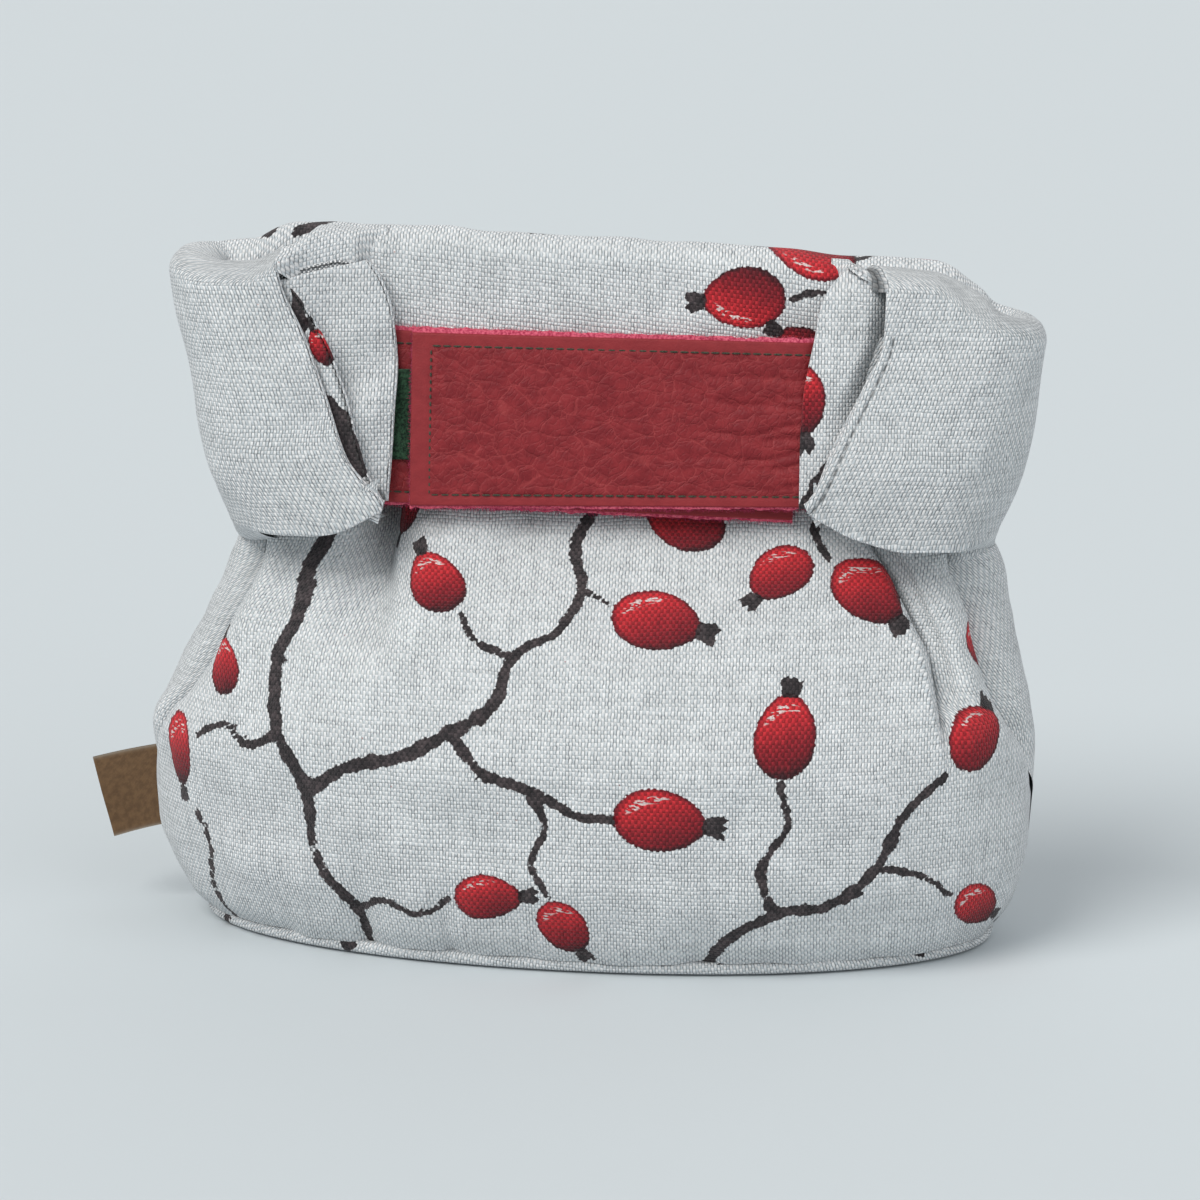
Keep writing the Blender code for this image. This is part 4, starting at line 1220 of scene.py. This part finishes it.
def end_surface(side, x, z):
    """The depth of a flap's turned end at a place, for its outer face."""
    edge = table_curve(END_EDGES[side], z, 1)
    away = np.abs(x) - edge
    lift = END_LIFT[side] - (1.5 if side < 0 else 0.8) * bump(away, 0.0, 6.0)
    forward, start, full = END_FORWARD[side]
    lift = lift + forward * ease(np.abs(x), start, full) * ease(z, 178.0, 194.0)
    lift = lift + (2.4 * ease(away, 2.0, 24.0) + 3.5 * ease(away, 16.0, 34.0) if side < 0 else 0.0)
    if side < 0:
        crease = 171.0 - 0.45 * away
        lift = lift - 1.7 * bump(z, crease + 5.0, 12.0) + 1.3 * bump(z, crease - 7.0, 12.0)
    else:
        lift = lift + 0.9 * bump(z, 178.0 - 0.5 * away, 15.0) - 0.3 * bump(z, 160.0, 12.0)
        lift = lift - 15.0 * ease(z, 194.0, 206.0) * (1 - ease(np.abs(x), 67.0, 75.0))
        # It dips in beside the other cloth's edge.
        beside = np.abs(x) - table_curve(TIPS[side], z, 1)
        lift = lift - 4.5 * ease(beside, -7.0, -0.5) * ease(z, 152.0, 176.0)
    return band("flap", z) - lift


def inner_end(patch, side):
    """The end of the flap, turned forward over the strap, with its turned top and side edges."""
    rows = []
    shares = np.concatenate([np.linspace(0.0, 0.9, 26)[:-1], np.linspace(0.9, 1.0, 8)])
    for b in even_shares(counted(68.0)):
        z = np.full(len(shares), END_FOOT + END_RISE * b)
        for _ in range(3):
            edge = table_curve(END_EDGES[side], z, 1)
            hidden = table_curve(TIPS[side], z, 1) + 10.0
            x = hidden + (edge - hidden) * shares
            z = END_FOOT + (end_top(side, x) - END_FOOT) * b
        rows.append(np.stack([side * x, end_surface(side, x, z), z], -1))
    face = np.array(rows)
    flat = face[..., [0, 2]]
    normals = grid_normals(face) * -side
    name = "right end" if side > 0 else None
    # Painted shade: deep beside the other cloth's edge, and a little over the whole face.
    beside = np.abs(face[..., 0]) - table_curve(TIPS[side], face[..., 2], 1)
    shade = 0.62 * ease(beside, (-3.0, -4.5)[side > 0], 0.0)
    if side > 0:
        shade = shade * ease(face[..., 2], 140.0, 176.0)
    shade = shade + (0.14, 0.09)[side > 0]
    patch.add(face, flat, flip=side > 0, shade=shade, **(print_of(flat, name) if name else {}))
    high, wide = np.array(face.shape[:2]) - 1
    edge_roll(patch, face, flat, normals, np.arange(high + 1), wide, (0, -1), name=name)
    edge_roll(patch, face, flat, normals, high, np.arange(wide + 1), (-1, 0), name=name)


def speckled_strip(patch, side):
    """The layer that shows behind the top of a turned end, its weave darkened with painted shade."""
    inner_x, outer_x = ((73.0, 98.0), (71.0, 86.0))[side > 0]
    x = np.linspace(inner_x, outer_x, 24)
    rise = (1.9, 1.5)[side > 0] * ease(x, inner_x - 1.0, inner_x + 7.0)
    rows = []
    for b in even_shares(8):
        z = end_top(side, x) - 4.0 + (4.0 + rise) * b
        y = end_surface(side, x, np.minimum(z, 205.0)) + 1.7
        rows.append(np.stack([side * x, y, z], -1))
    face = np.array(rows)
    flat = face[..., [0, 2]] * (1.5, 1.9)
    edge = rolled(face[-1], face[-2], grid_normals(face)[-1] * side, flat[-1], flat[-2], 0.7, 4.0)
    for grid, coords, flip in ((face, flat, side < 0), (*edge, False)):
        patch.add(grid, coords, flip=flip, dusk=np.full(grid.shape[:2], 0.9))


# Layers of cloth that show beside the edges of the turned in ends: side, and the width at heights.
SLIVERS = (
    (-1, ((132.0, -2.0), (137.0, 0.6), (142.0, 2.6), (149.0, 4.6), (157.0, 5.2), (166.0, 5.8), (176.0, 5.8),
          (183.0, 5.2), (190.0, 4.4), (195.0, 3.0), (200.0, 1.0))),
    (1, ((132.0, -1.5), (140.0, 0.6), (150.0, 1.3), (170.0, 1.0), (182.0, 0.2), (200.0, -1.5))),
)


def sliver(patch, side, rows):
    z = np.linspace(EAR_FOOT[side][1] + 0.5, 196.0, 44)
    tip = table_curve(TIPS[side], z, 1)
    edge = tip - table_curve(rows, z, 1)
    face = []
    for t in even_shares(8):
        x = tip + 7.0 + (edge - tip - 7.0) * t
        y = band("ear", z) + TIP_BACK[side] - CLOTH / 2 + 2.2 + 0.8 * t
        face.append(np.stack([side * x, y, z], -1))
    face = np.swapaxes(np.array(face), 0, 1)
    flat = face[..., [0, 2]]
    normals = grid_normals(face) * -side
    name = "left end" if side < 0 else "plain"
    # Painted shade beside the turned in end's edge, and a little over the whole layer.
    beside = np.abs(face[..., 0]) - tip[:, None]
    patch.add(face, flat, flip=side > 0, shade=0.6 * ease(beside, -2.2, 0.0) + 0.05, **print_of(flat, name))
    grid, coords = rolled(face[:, -1], face[:, -2], normals[:, -1], flat[:, -1], flat[:, -2], 0.8, 6.0)
    patch.add(grid, coords, **print_of(coords, name))


# ---- the base ----

# Section of the base at its edge: distance in from the seam's line, and height.
BASE_SECTION = (
    (60.0, 0.0), (30.0, 0.0), (12.0, 0.0), (6.0, 0.0), (3.0, 0.1), (1.5, 0.4), (0.5, 0.8), (-0.2, 1.3),
    (-0.55, 1.9), (-0.7, 2.5), (-0.75, 3.1), (-0.6, 3.7), (0.2, 4.3), (1.4, 4.5), (2.6, 3.6),
)
BASE_TWIGS = (((-60, -57, 2.0), (-52, -66, 1.8), (-40, -72, 1.6)), ((20, -60, 1.6), (26, -72, 1.5)),
              ((-112, -10, 1.6), (-122, -30, 1.5)), ((96, -40, 1.6), (90, -60, 1.5)))
BASE_BERRIES = ((8, -70, 22, 15, 180), (52, -66, 24, 15, 160), (-84, -52, 20, 14, 40))


def base_cloth():
    """A flat oval whose edge turns up to the seam."""
    around = 360
    outline = []
    for angle in np.linspace(-90.0, 270.0, around, endpoint=False):
        side, turn = (1, angle) if angle < 90.0 else (-1, 180.0 - angle)
        outline.append(body_outline(BODY_FOOT, side, np.array([turn]))[0])
    outline = np.array(outline)
    tangent = unit(np.roll(outline, -1, axis=0) - np.roll(outline, 1, axis=0))
    inward = np.column_stack([-tangent[:, 1], tangent[:, 0]])
    rows, flat, run, last = [], [], 6.0, BASE_SECTION[3]
    for inset, z in BASE_SECTION:
        if inset > 6.0:
            ring = outline * (1 - inset / 60.0)
            rows.append(np.column_stack([ring, np.full(around, z)]))
            flat.append(ring)
            continue
        run -= math.hypot(inset - last[0], z - last[1])
        last = (inset, z)
        wave = 0.16 * np.sin(np.arange(around) * 2 * math.pi / around * 41) * (z > 3.0)
        rows.append(np.column_stack([outline + inward * (inset + wave)[:, None], np.full(around, z)]))
        flat.append(outline + inward * run)
    grid = np.concatenate([np.array(rows), np.array(rows)[:, :1]], axis=1)
    coords = np.concatenate([np.array(flat), np.array(flat)[:, :1]], axis=1)
    patch = Patch()
    patch.add(grid, coords, **print_of(coords, "base"))
    obj = patch.build("base_cloth", CANVAS, "base_panel")
    low, high = outline.min(axis=0) - 6.0, outline.max(axis=0) + 6.0
    area = math.pi / 4 * (high - low).prod() * 1.05
    area * MM * MM


# ---- straps and tapes ----


def strip_size(name):
    left, right, low, high = STRIPS[name][:4]
    return right - left, high - low


def strip_place(x, z, lift):
    return np.stack([x, band("flap", z) - lift, z], -1)


def strip_edges(name, u, v):
    """Places on a strip: u runs from its left end to its right, v from its lower edge to its upper."""
    left, right, low_left, high_left, low_right, high_right = STRIPS[name]
    low = low_left + (low_right - low_left) * u
    high = high_left + (high_right - high_left) * u
    return left + (right - left) * u, low + (high - low) * v


def strap_lift(name, x):
    if name == "strap_right":
        end = STRIPS["strap_left"][1]
        return LIFT_LEFT + (LIFT_RIGHT - LIFT_LEFT) * (1 - ease(x, end + LIFT_END[0], end + LIFT_END[1]))
    return {"strap_left": LIFT_LEFT, "loop_tape": LIFT_LOOP, "hook_tape": LIFT_HOOK}[name]


def slab(length, height, half, step):
    """Places on a slab with rounded edges, and how high its face is there, from 0 to 1."""
    turn = np.radians([0.0, 20.0, 40.0, 60.0, 80.0])
    edge, rise = half * (1 - np.cos(turn)), np.sin(turn)
    places, rises = [], []
    for size in (length, height):
        inner = np.linspace(half, size - half, max(3, int((size - 2 * half) / step)))
        places.append(np.concatenate([edge, inner, size - edge[::-1]]))
        rises.append(np.concatenate([rise, np.ones(len(inner)), rise[::-1]]))
    u, v = np.meshgrid(*places)
    return u, v, np.minimum(rises[0][None, :], rises[1][:, None])


# How far the stitched line lies inside a strap's free end, its upper edge and its lower edge.
STITCH_END, STITCH_TOP, STITCH_BOTTOM = 5.7, 3.6, 3.2


def leather_layer(patch, name, offset, half, grow, step, seed, relief=0.0):
    """One layer of a strap as a slab with rounded edges, over the strap's middle surface by offset."""
    random = np.random.default_rng(seed)
    left, right, low, high = grow
    strap_length, strap_height = strip_size(name)
    length, height = strap_length + left + right, strap_height + low + high
    u, v, rise = slab(length, height, half, step)
    across = (v - low) / (height - low - high)
    x, z = strip_edges(name, (u - left) / (length - left - right), across)
    knots = np.arange(0, length + 1, 0.9)
    ragged = np.interp(u[0], knots, random.normal(0, 1, len(knots)))
    if not relief:
        z = z + ragged[None, :] * 0.16 * np.abs(across * 2 - 1) ** 6 * np.sign(across - 0.5)
    wave = 0.35 * np.sin(x / 17.0 + seed) * np.sin(z / 13.0 + 0.6 * seed) + 0.18 * np.sin(x / 7.3 + z / 9.1)
    lift = strap_lift(name, x) + offset + wave * 0.6
    flat = np.stack([u + 200 * seed, v + 90 * seed], -1)
    border = np.zeros(u.shape)
    if relief:
        inset = stitch_distance(name, u - left, v - low)
        lift = lift - 0.22 * np.exp(-((inset / 0.55) ** 2)) - 0.10 * (inset < 0)
        lift = lift + relief * wrinkle_relief(x, z) * ease(inset, 0.5, 3.0)
        border = 1 - ease(inset, -0.2, 0.6)
    patch.add(strip_place(x, z, lift + half * rise), flat, border=border)
    patch.add(strip_place(x, z, lift - half * rise), flat, flip=True, border=np.ones(u.shape))


def stitch_distance(name, u, v):
    """How far inside a strap's stitched line a place lies, in millimetres."""
    length, height = strip_size(name)
    end = (u if name == "strap_right" else length - u) - STITCH_END
    return np.minimum(end, np.minimum(v - STITCH_BOTTOM, height - v - STITCH_TOP))


# Long wrinkles of the right strap: height at x 60, slope, depth and width.
WRINKLES = (
    (141.0, 0.10, 0.55, 1.1), (145.5, -0.06, 0.7, 0.9), (149.5, 0.05, 0.6, 0.9), (153.0, -0.10, 0.75, 1.1),
    (157.5, 0.08, 0.6, 0.8), (161.5, -0.14, 0.7, 1.0), (166.0, 0.10, 0.5, 1.2), (170.5, -0.05, 0.5, 1.0),
)


def wrinkle_relief(x, z):
    """Long wrinkles of the leather, deepest towards the right strap's sewn end."""
    towards = ease(x, 18.0, 50.0)
    bend = 2.2 * np.sin(x / 9.0) + 1.2 * np.sin(x / 4.1 + z / 6.0)
    lines = np.zeros(x.shape)
    for k, (at, lean, depth, width) in enumerate(WRINKLES):
        start = 14.0 + 9.0 * math.sin(k * 2.4)
        height = at + lean * (x - 60.0) + bend * 0.45
        lines -= depth * np.exp(-(((z - height) / width) ** 2)) * ease(x, start + 8.0, start + 34.0)
    soft = 0.35 * np.sin(x / 5.2 + 1.3 * np.sin(z / 7.0)) * np.sin(z / 4.6 + 0.9 * np.sin(x / 8.0))
    return lines + soft * (0.35 + 0.4 * towards)


def stitches(name):
    """Thread stitches along the stitched line, as small rounded bars sunk in the leather."""
    length, height = strip_size(name)
    end, far = (STITCH_END, length) if name == "strap_right" else (length - STITCH_END, 0.0)
    low, high = STITCH_BOTTOM, height - STITCH_TOP
    # Each line's start and end, its pitch, and the share of the pitch that a stitch takes.
    lines = (((end, low), (end, high), 2.1, 0.62), ((end, high), (far, high), 3.0, 0.88),
             ((end, low), (far, low), 3.0, 0.88))
    patch = Patch()
    turns = np.linspace(0, 2 * math.pi, 7)
    for a, b, pitch, share in lines:
        a, b = np.array(a), np.array(b)
        along = unit(b - a)
        for k in range(int(np.linalg.norm(b - a) / pitch)):
            start = a + along * pitch * (k + 0.1)
            rings = []
            for t in np.linspace(0.0, 1.0, 6):
                u, v = start + along * pitch * share * t
                radius = 0.26 * math.sqrt(max(0.0, 1 - (2 * t - 1) ** 4)) + 0.02
                x, z = strip_edges(name, u / length, v / height)
                lift = strap_lift(name, x) + LEATHER / 2 - 0.05 - 0.14 * (2 * t - 1) ** 2
                centre = np.array([x, float(band("flap", z)) - lift, z])
                side = np.array([-along[1], 0.0, along[0]])
                ring = centre + side * np.cos(turns)[:, None] * radius
                ring[:, 1] -= np.sin(turns) * radius
                rings.append(ring)
            grid = np.array(rings)
            patch.add(grid, grid[..., [0, 2]])
    return patch.build(name + "_stitches", THREAD)


def fibres(name, roots, directions, length, width, material, seed):
    """Short bent fibres as thin strips, from roots along directions."""
    random = np.random.default_rng(seed)
    count = len(roots)
    spread = unit(directions + random.normal(0, 0.55, (count, 3)))
    aside = unit(np.cross(spread, random.normal(0, 1, (count, 3))))
    reach = length * random.uniform(0.35, 1.0, count)[:, None]
    bend = aside * random.normal(0, 0.35, (count, 1)) * reach
    across = np.cross(spread, aside) * width
    points = []
    for share, thin in ((-0.15, 1.0), (0.35, 0.9), (0.7, 0.7), (1.0, 0.25)):
        centre = roots + spread * reach * share + bend * share * share
        points.append(np.stack([centre - across * thin, centre + across * thin], axis=1))
    rows = np.stack(points, axis=1).reshape(count * 4, 2, 3)
    kept = np.ones((count * 4 - 1, 1), bool)
    kept[3::4] = False  # no face joins one fibre to the next
    patch = Patch()
    patch.add(rows, rows[..., [0, 2]], kept)
    return patch.build(name, material)


def strap_fuzz(name, seed):
    """Suede fuzz along a strap's upper edge, and along its lower edge and its free end in a darker copy of
    the suede that paints the shade there.
    """
    random = np.random.default_rng(seed)
    made = []
    for edge, up, count, material in ((1.0, 1.0, 1700, SUEDE), (0.0, -1.0, 1700, SUEDE_IN_PAINTED_SHADE)):
        x, z = strip_edges(name, random.random(count), np.full(count, edge))
        lift = strap_lift(name, x) - random.uniform(0.1, 0.9, count)
        roots = [strip_place(x, z + up * random.uniform(0.2, 1.1, count), lift)]
        directions = [np.tile([0.0, -0.25, up], (count, 1))]
        if edge == 0.0:
            count = 600
            free, way = (0.0, -1.0) if name == "strap_right" else (1.0, 1.0)
            x, z = strip_edges(name, np.full(count, free), random.random(count))
            lift = strap_lift(name, x) - random.uniform(0.1, 0.9, count)
            roots.append(strip_place(x + way * random.uniform(-0.3, 0.2, count), z, lift))
            directions.append(np.tile([way, -0.1, 0.0], (count, 1)))
        label = name + ("_upper_fuzz" if edge else "_lower_fuzz")
        made.append(fibres(label, np.concatenate(roots), np.concatenate(directions), 1.25, 0.05, material,
                           seed + int(edge) + 1))
    return made


def strap(name, seed):
    """A leather face on a slightly larger suede layer, with stitches and fuzz."""
    patch = Patch()
    leather_layer(patch, name, 0.35, 0.55, (0.0, 0.0, 0.0, 0.0), 0.6, seed, relief=1.0)
    obj = patch.build(name + "_leather", LEATHER_RED, name)
    patch = Patch()
    leather_layer(patch, name, -0.45, 0.45, (0.15, 0.15, 0.9, 1.2), 1.4, seed + 1)
    suede = patch.build(name + "_suede", SUEDE)
    length, height = strip_size(name)
    parts = [suede, stitches(name), *strap_fuzz(name, seed + 5)]
    length * MM
    height * MM


def tape(name, material, seed, half, fibre, count):
    """A strip of tape with its pile."""
    random = np.random.default_rng(seed)
    patch = Patch()
    length, height = strip_size(name)
    u, v, rise = slab(length, height, half, 1.6)
    x, z = strip_edges(name, u / length, v / height)
    for way, flip in ((half, False), (-half, True)):
        patch.add(strip_place(x, z, strap_lift(name, x) + way * rise), np.stack([u, v], -1), flip=flip)
    obj = patch.build(name + "_tape", material, name)
    facing = 1 if name == "loop_tape" else -1
    x, z = strip_edges(name, random.random(count), random.uniform(0.01, 0.99, count))
    roots = strip_place(x, z, strap_lift(name, x) + facing * half * 0.8)
    directions = np.tile([0.0, -facing, 0.2], (count, 1))
    pile = fibres(name + "_pile", roots, directions, fibre, 0.07, material, seed)
    length * MM
    height * MM


# ---- the tab in the side seam ----

LABEL_HELD = 1.5  # how far its ends reach into the seam


def tab():
    """A bare woven tab, folded double, its fold outwards and its ends held in the seam."""
    half = LABEL_THICKNESS / 2 - 0.2
    drop = math.sin(math.radians(LABEL_TILT))
    far = -float(body("left", LABEL_FOOT + LABEL_HEIGHT / 2)) - LABEL_REACH
    straight = np.linspace(-LABEL_HELD, LABEL_REACH - half, 26)
    turn = np.radians(np.linspace(0, 180, 11))[1:-1]
    section = [(d, half) for d in straight]
    section += [(LABEL_REACH - half + half * math.sin(a), half * math.cos(a)) for a in turn]
    section += [(d, -half) for d in straight[::-1]]
    rows, flat = [], []
    for (out, side), run in zip(section, run_of(np.array(section))):
        u = out / LABEL_REACH
        v = np.linspace(0.0, 1.0, 34)
        z_seam = LABEL_FOOT + LABEL_HEIGHT * v
        x_seam = -(body("left", z_seam) + CLOTH / 2 + CONTACT)
        x_end = far + LABEL_HEIGHT * (0.5 - v) * drop
        x = x_seam + (x_end - x_seam) * u
        curl = 0.25 * np.sin(math.pi * v * 2 + 1) * u
        y = -TURN * x_seam + LABEL_BOW * math.sin(math.pi * min(max(u, 0.0), 1.0)) - side + curl
        rows.append(np.stack([x, y, z_seam - LABEL_REACH * u * drop], -1))
        flat.append(np.stack([np.full(len(v), run), LABEL_HEIGHT * v], -1))
    grid, coords = np.array(rows), np.array(flat)
    edge = np.minimum(coords[..., 1], LABEL_HEIGHT - coords[..., 1])
    patch = Patch()
    patch.add(grid, coords, flip=True, border=1 - ease(edge, 0.3, 0.9))
    obj = patch.build("tab", TAB, "label")


front_cloth()
back_cloth()
base_cloth()
strap("strap_left", 3)
strap("strap_right", 5)
tape("loop_tape", PILE, 21, 0.5, 0.9, 5200)
tape("hook_tape", HOOKS, 22, 0.4, 0.45, 1500)
tab()


# ---- floor, lights and camera ----

AZIMUTH, ELEVATION, DISTANCE, LENS = 5.0, 12.0, 1.10, 113.85
TARGET = Vector((SHIFT[0] * MM, -0.035, 0.107))
FLOOR_HALF = 30.0


def camera():
    a, e = math.radians(AZIMUTH), math.radians(ELEVATION)
    back = Vector((math.sin(a) * math.cos(e), -math.cos(a) * math.cos(e), math.sin(e)))
    data = bpy.data.cameras.new("camera")
    data.lens, data.sensor_width = LENS, 36.0
    obj = linked("camera", data)
    obj.location = TARGET + back * DISTANCE
    obj.rotation_euler = (math.pi / 2 - e, 0.0, a)
    bpy.context.scene.camera = obj


def soft_sun(name, towards, angle, power, colour):
    """A wide soft light from a direction, the same all over the floor."""
    data = bpy.data.lights.new(name, "SUN")
    data.angle, data.energy, data.color = math.radians(angle), power, colour
    linked(name, data).rotation_euler = Vector(towards).to_track_quat("Z", "Y").to_euler()


def studio():
    mesh = bpy.data.meshes.new("floor")
    corners = [(x * FLOOR_HALF, y * FLOOR_HALF, 0) for x, y in ((-1, -1), (1, -1), (1, 1), (-1, 1))]
    mesh.from_pydata(corners, [], [(0, 1, 2, 3)])
    mesh.materials.append(Graph("floor").finish((0.60, 0.645, 0.67), 0.95, 0.1))
    linked("floor", mesh)
    world = bpy.data.worlds.new("studio")
    world.use_nodes = True
    background = world.node_tree.nodes["Background"].inputs
    background["Color"].default_value = (0.66, 0.68, 0.69, 1.0)
    background["Strength"].default_value = 0.60
    bpy.context.scene.world = world
    soft_sun("key", (-0.66, -0.78, 1.08), 36.0, 2.06, (1.0, 0.985, 0.955))
    soft_sun("fill", (0.9, -0.85, 0.8), 60.0, 0.66, (0.98, 0.99, 1.0))
    soft_sun("back", (0.25, 1.0, 0.75), 70.0, 0.5, (0.98, 0.99, 1.0))
    bpy.context.scene.view_settings.view_transform = "Standard"


camera()
studio()
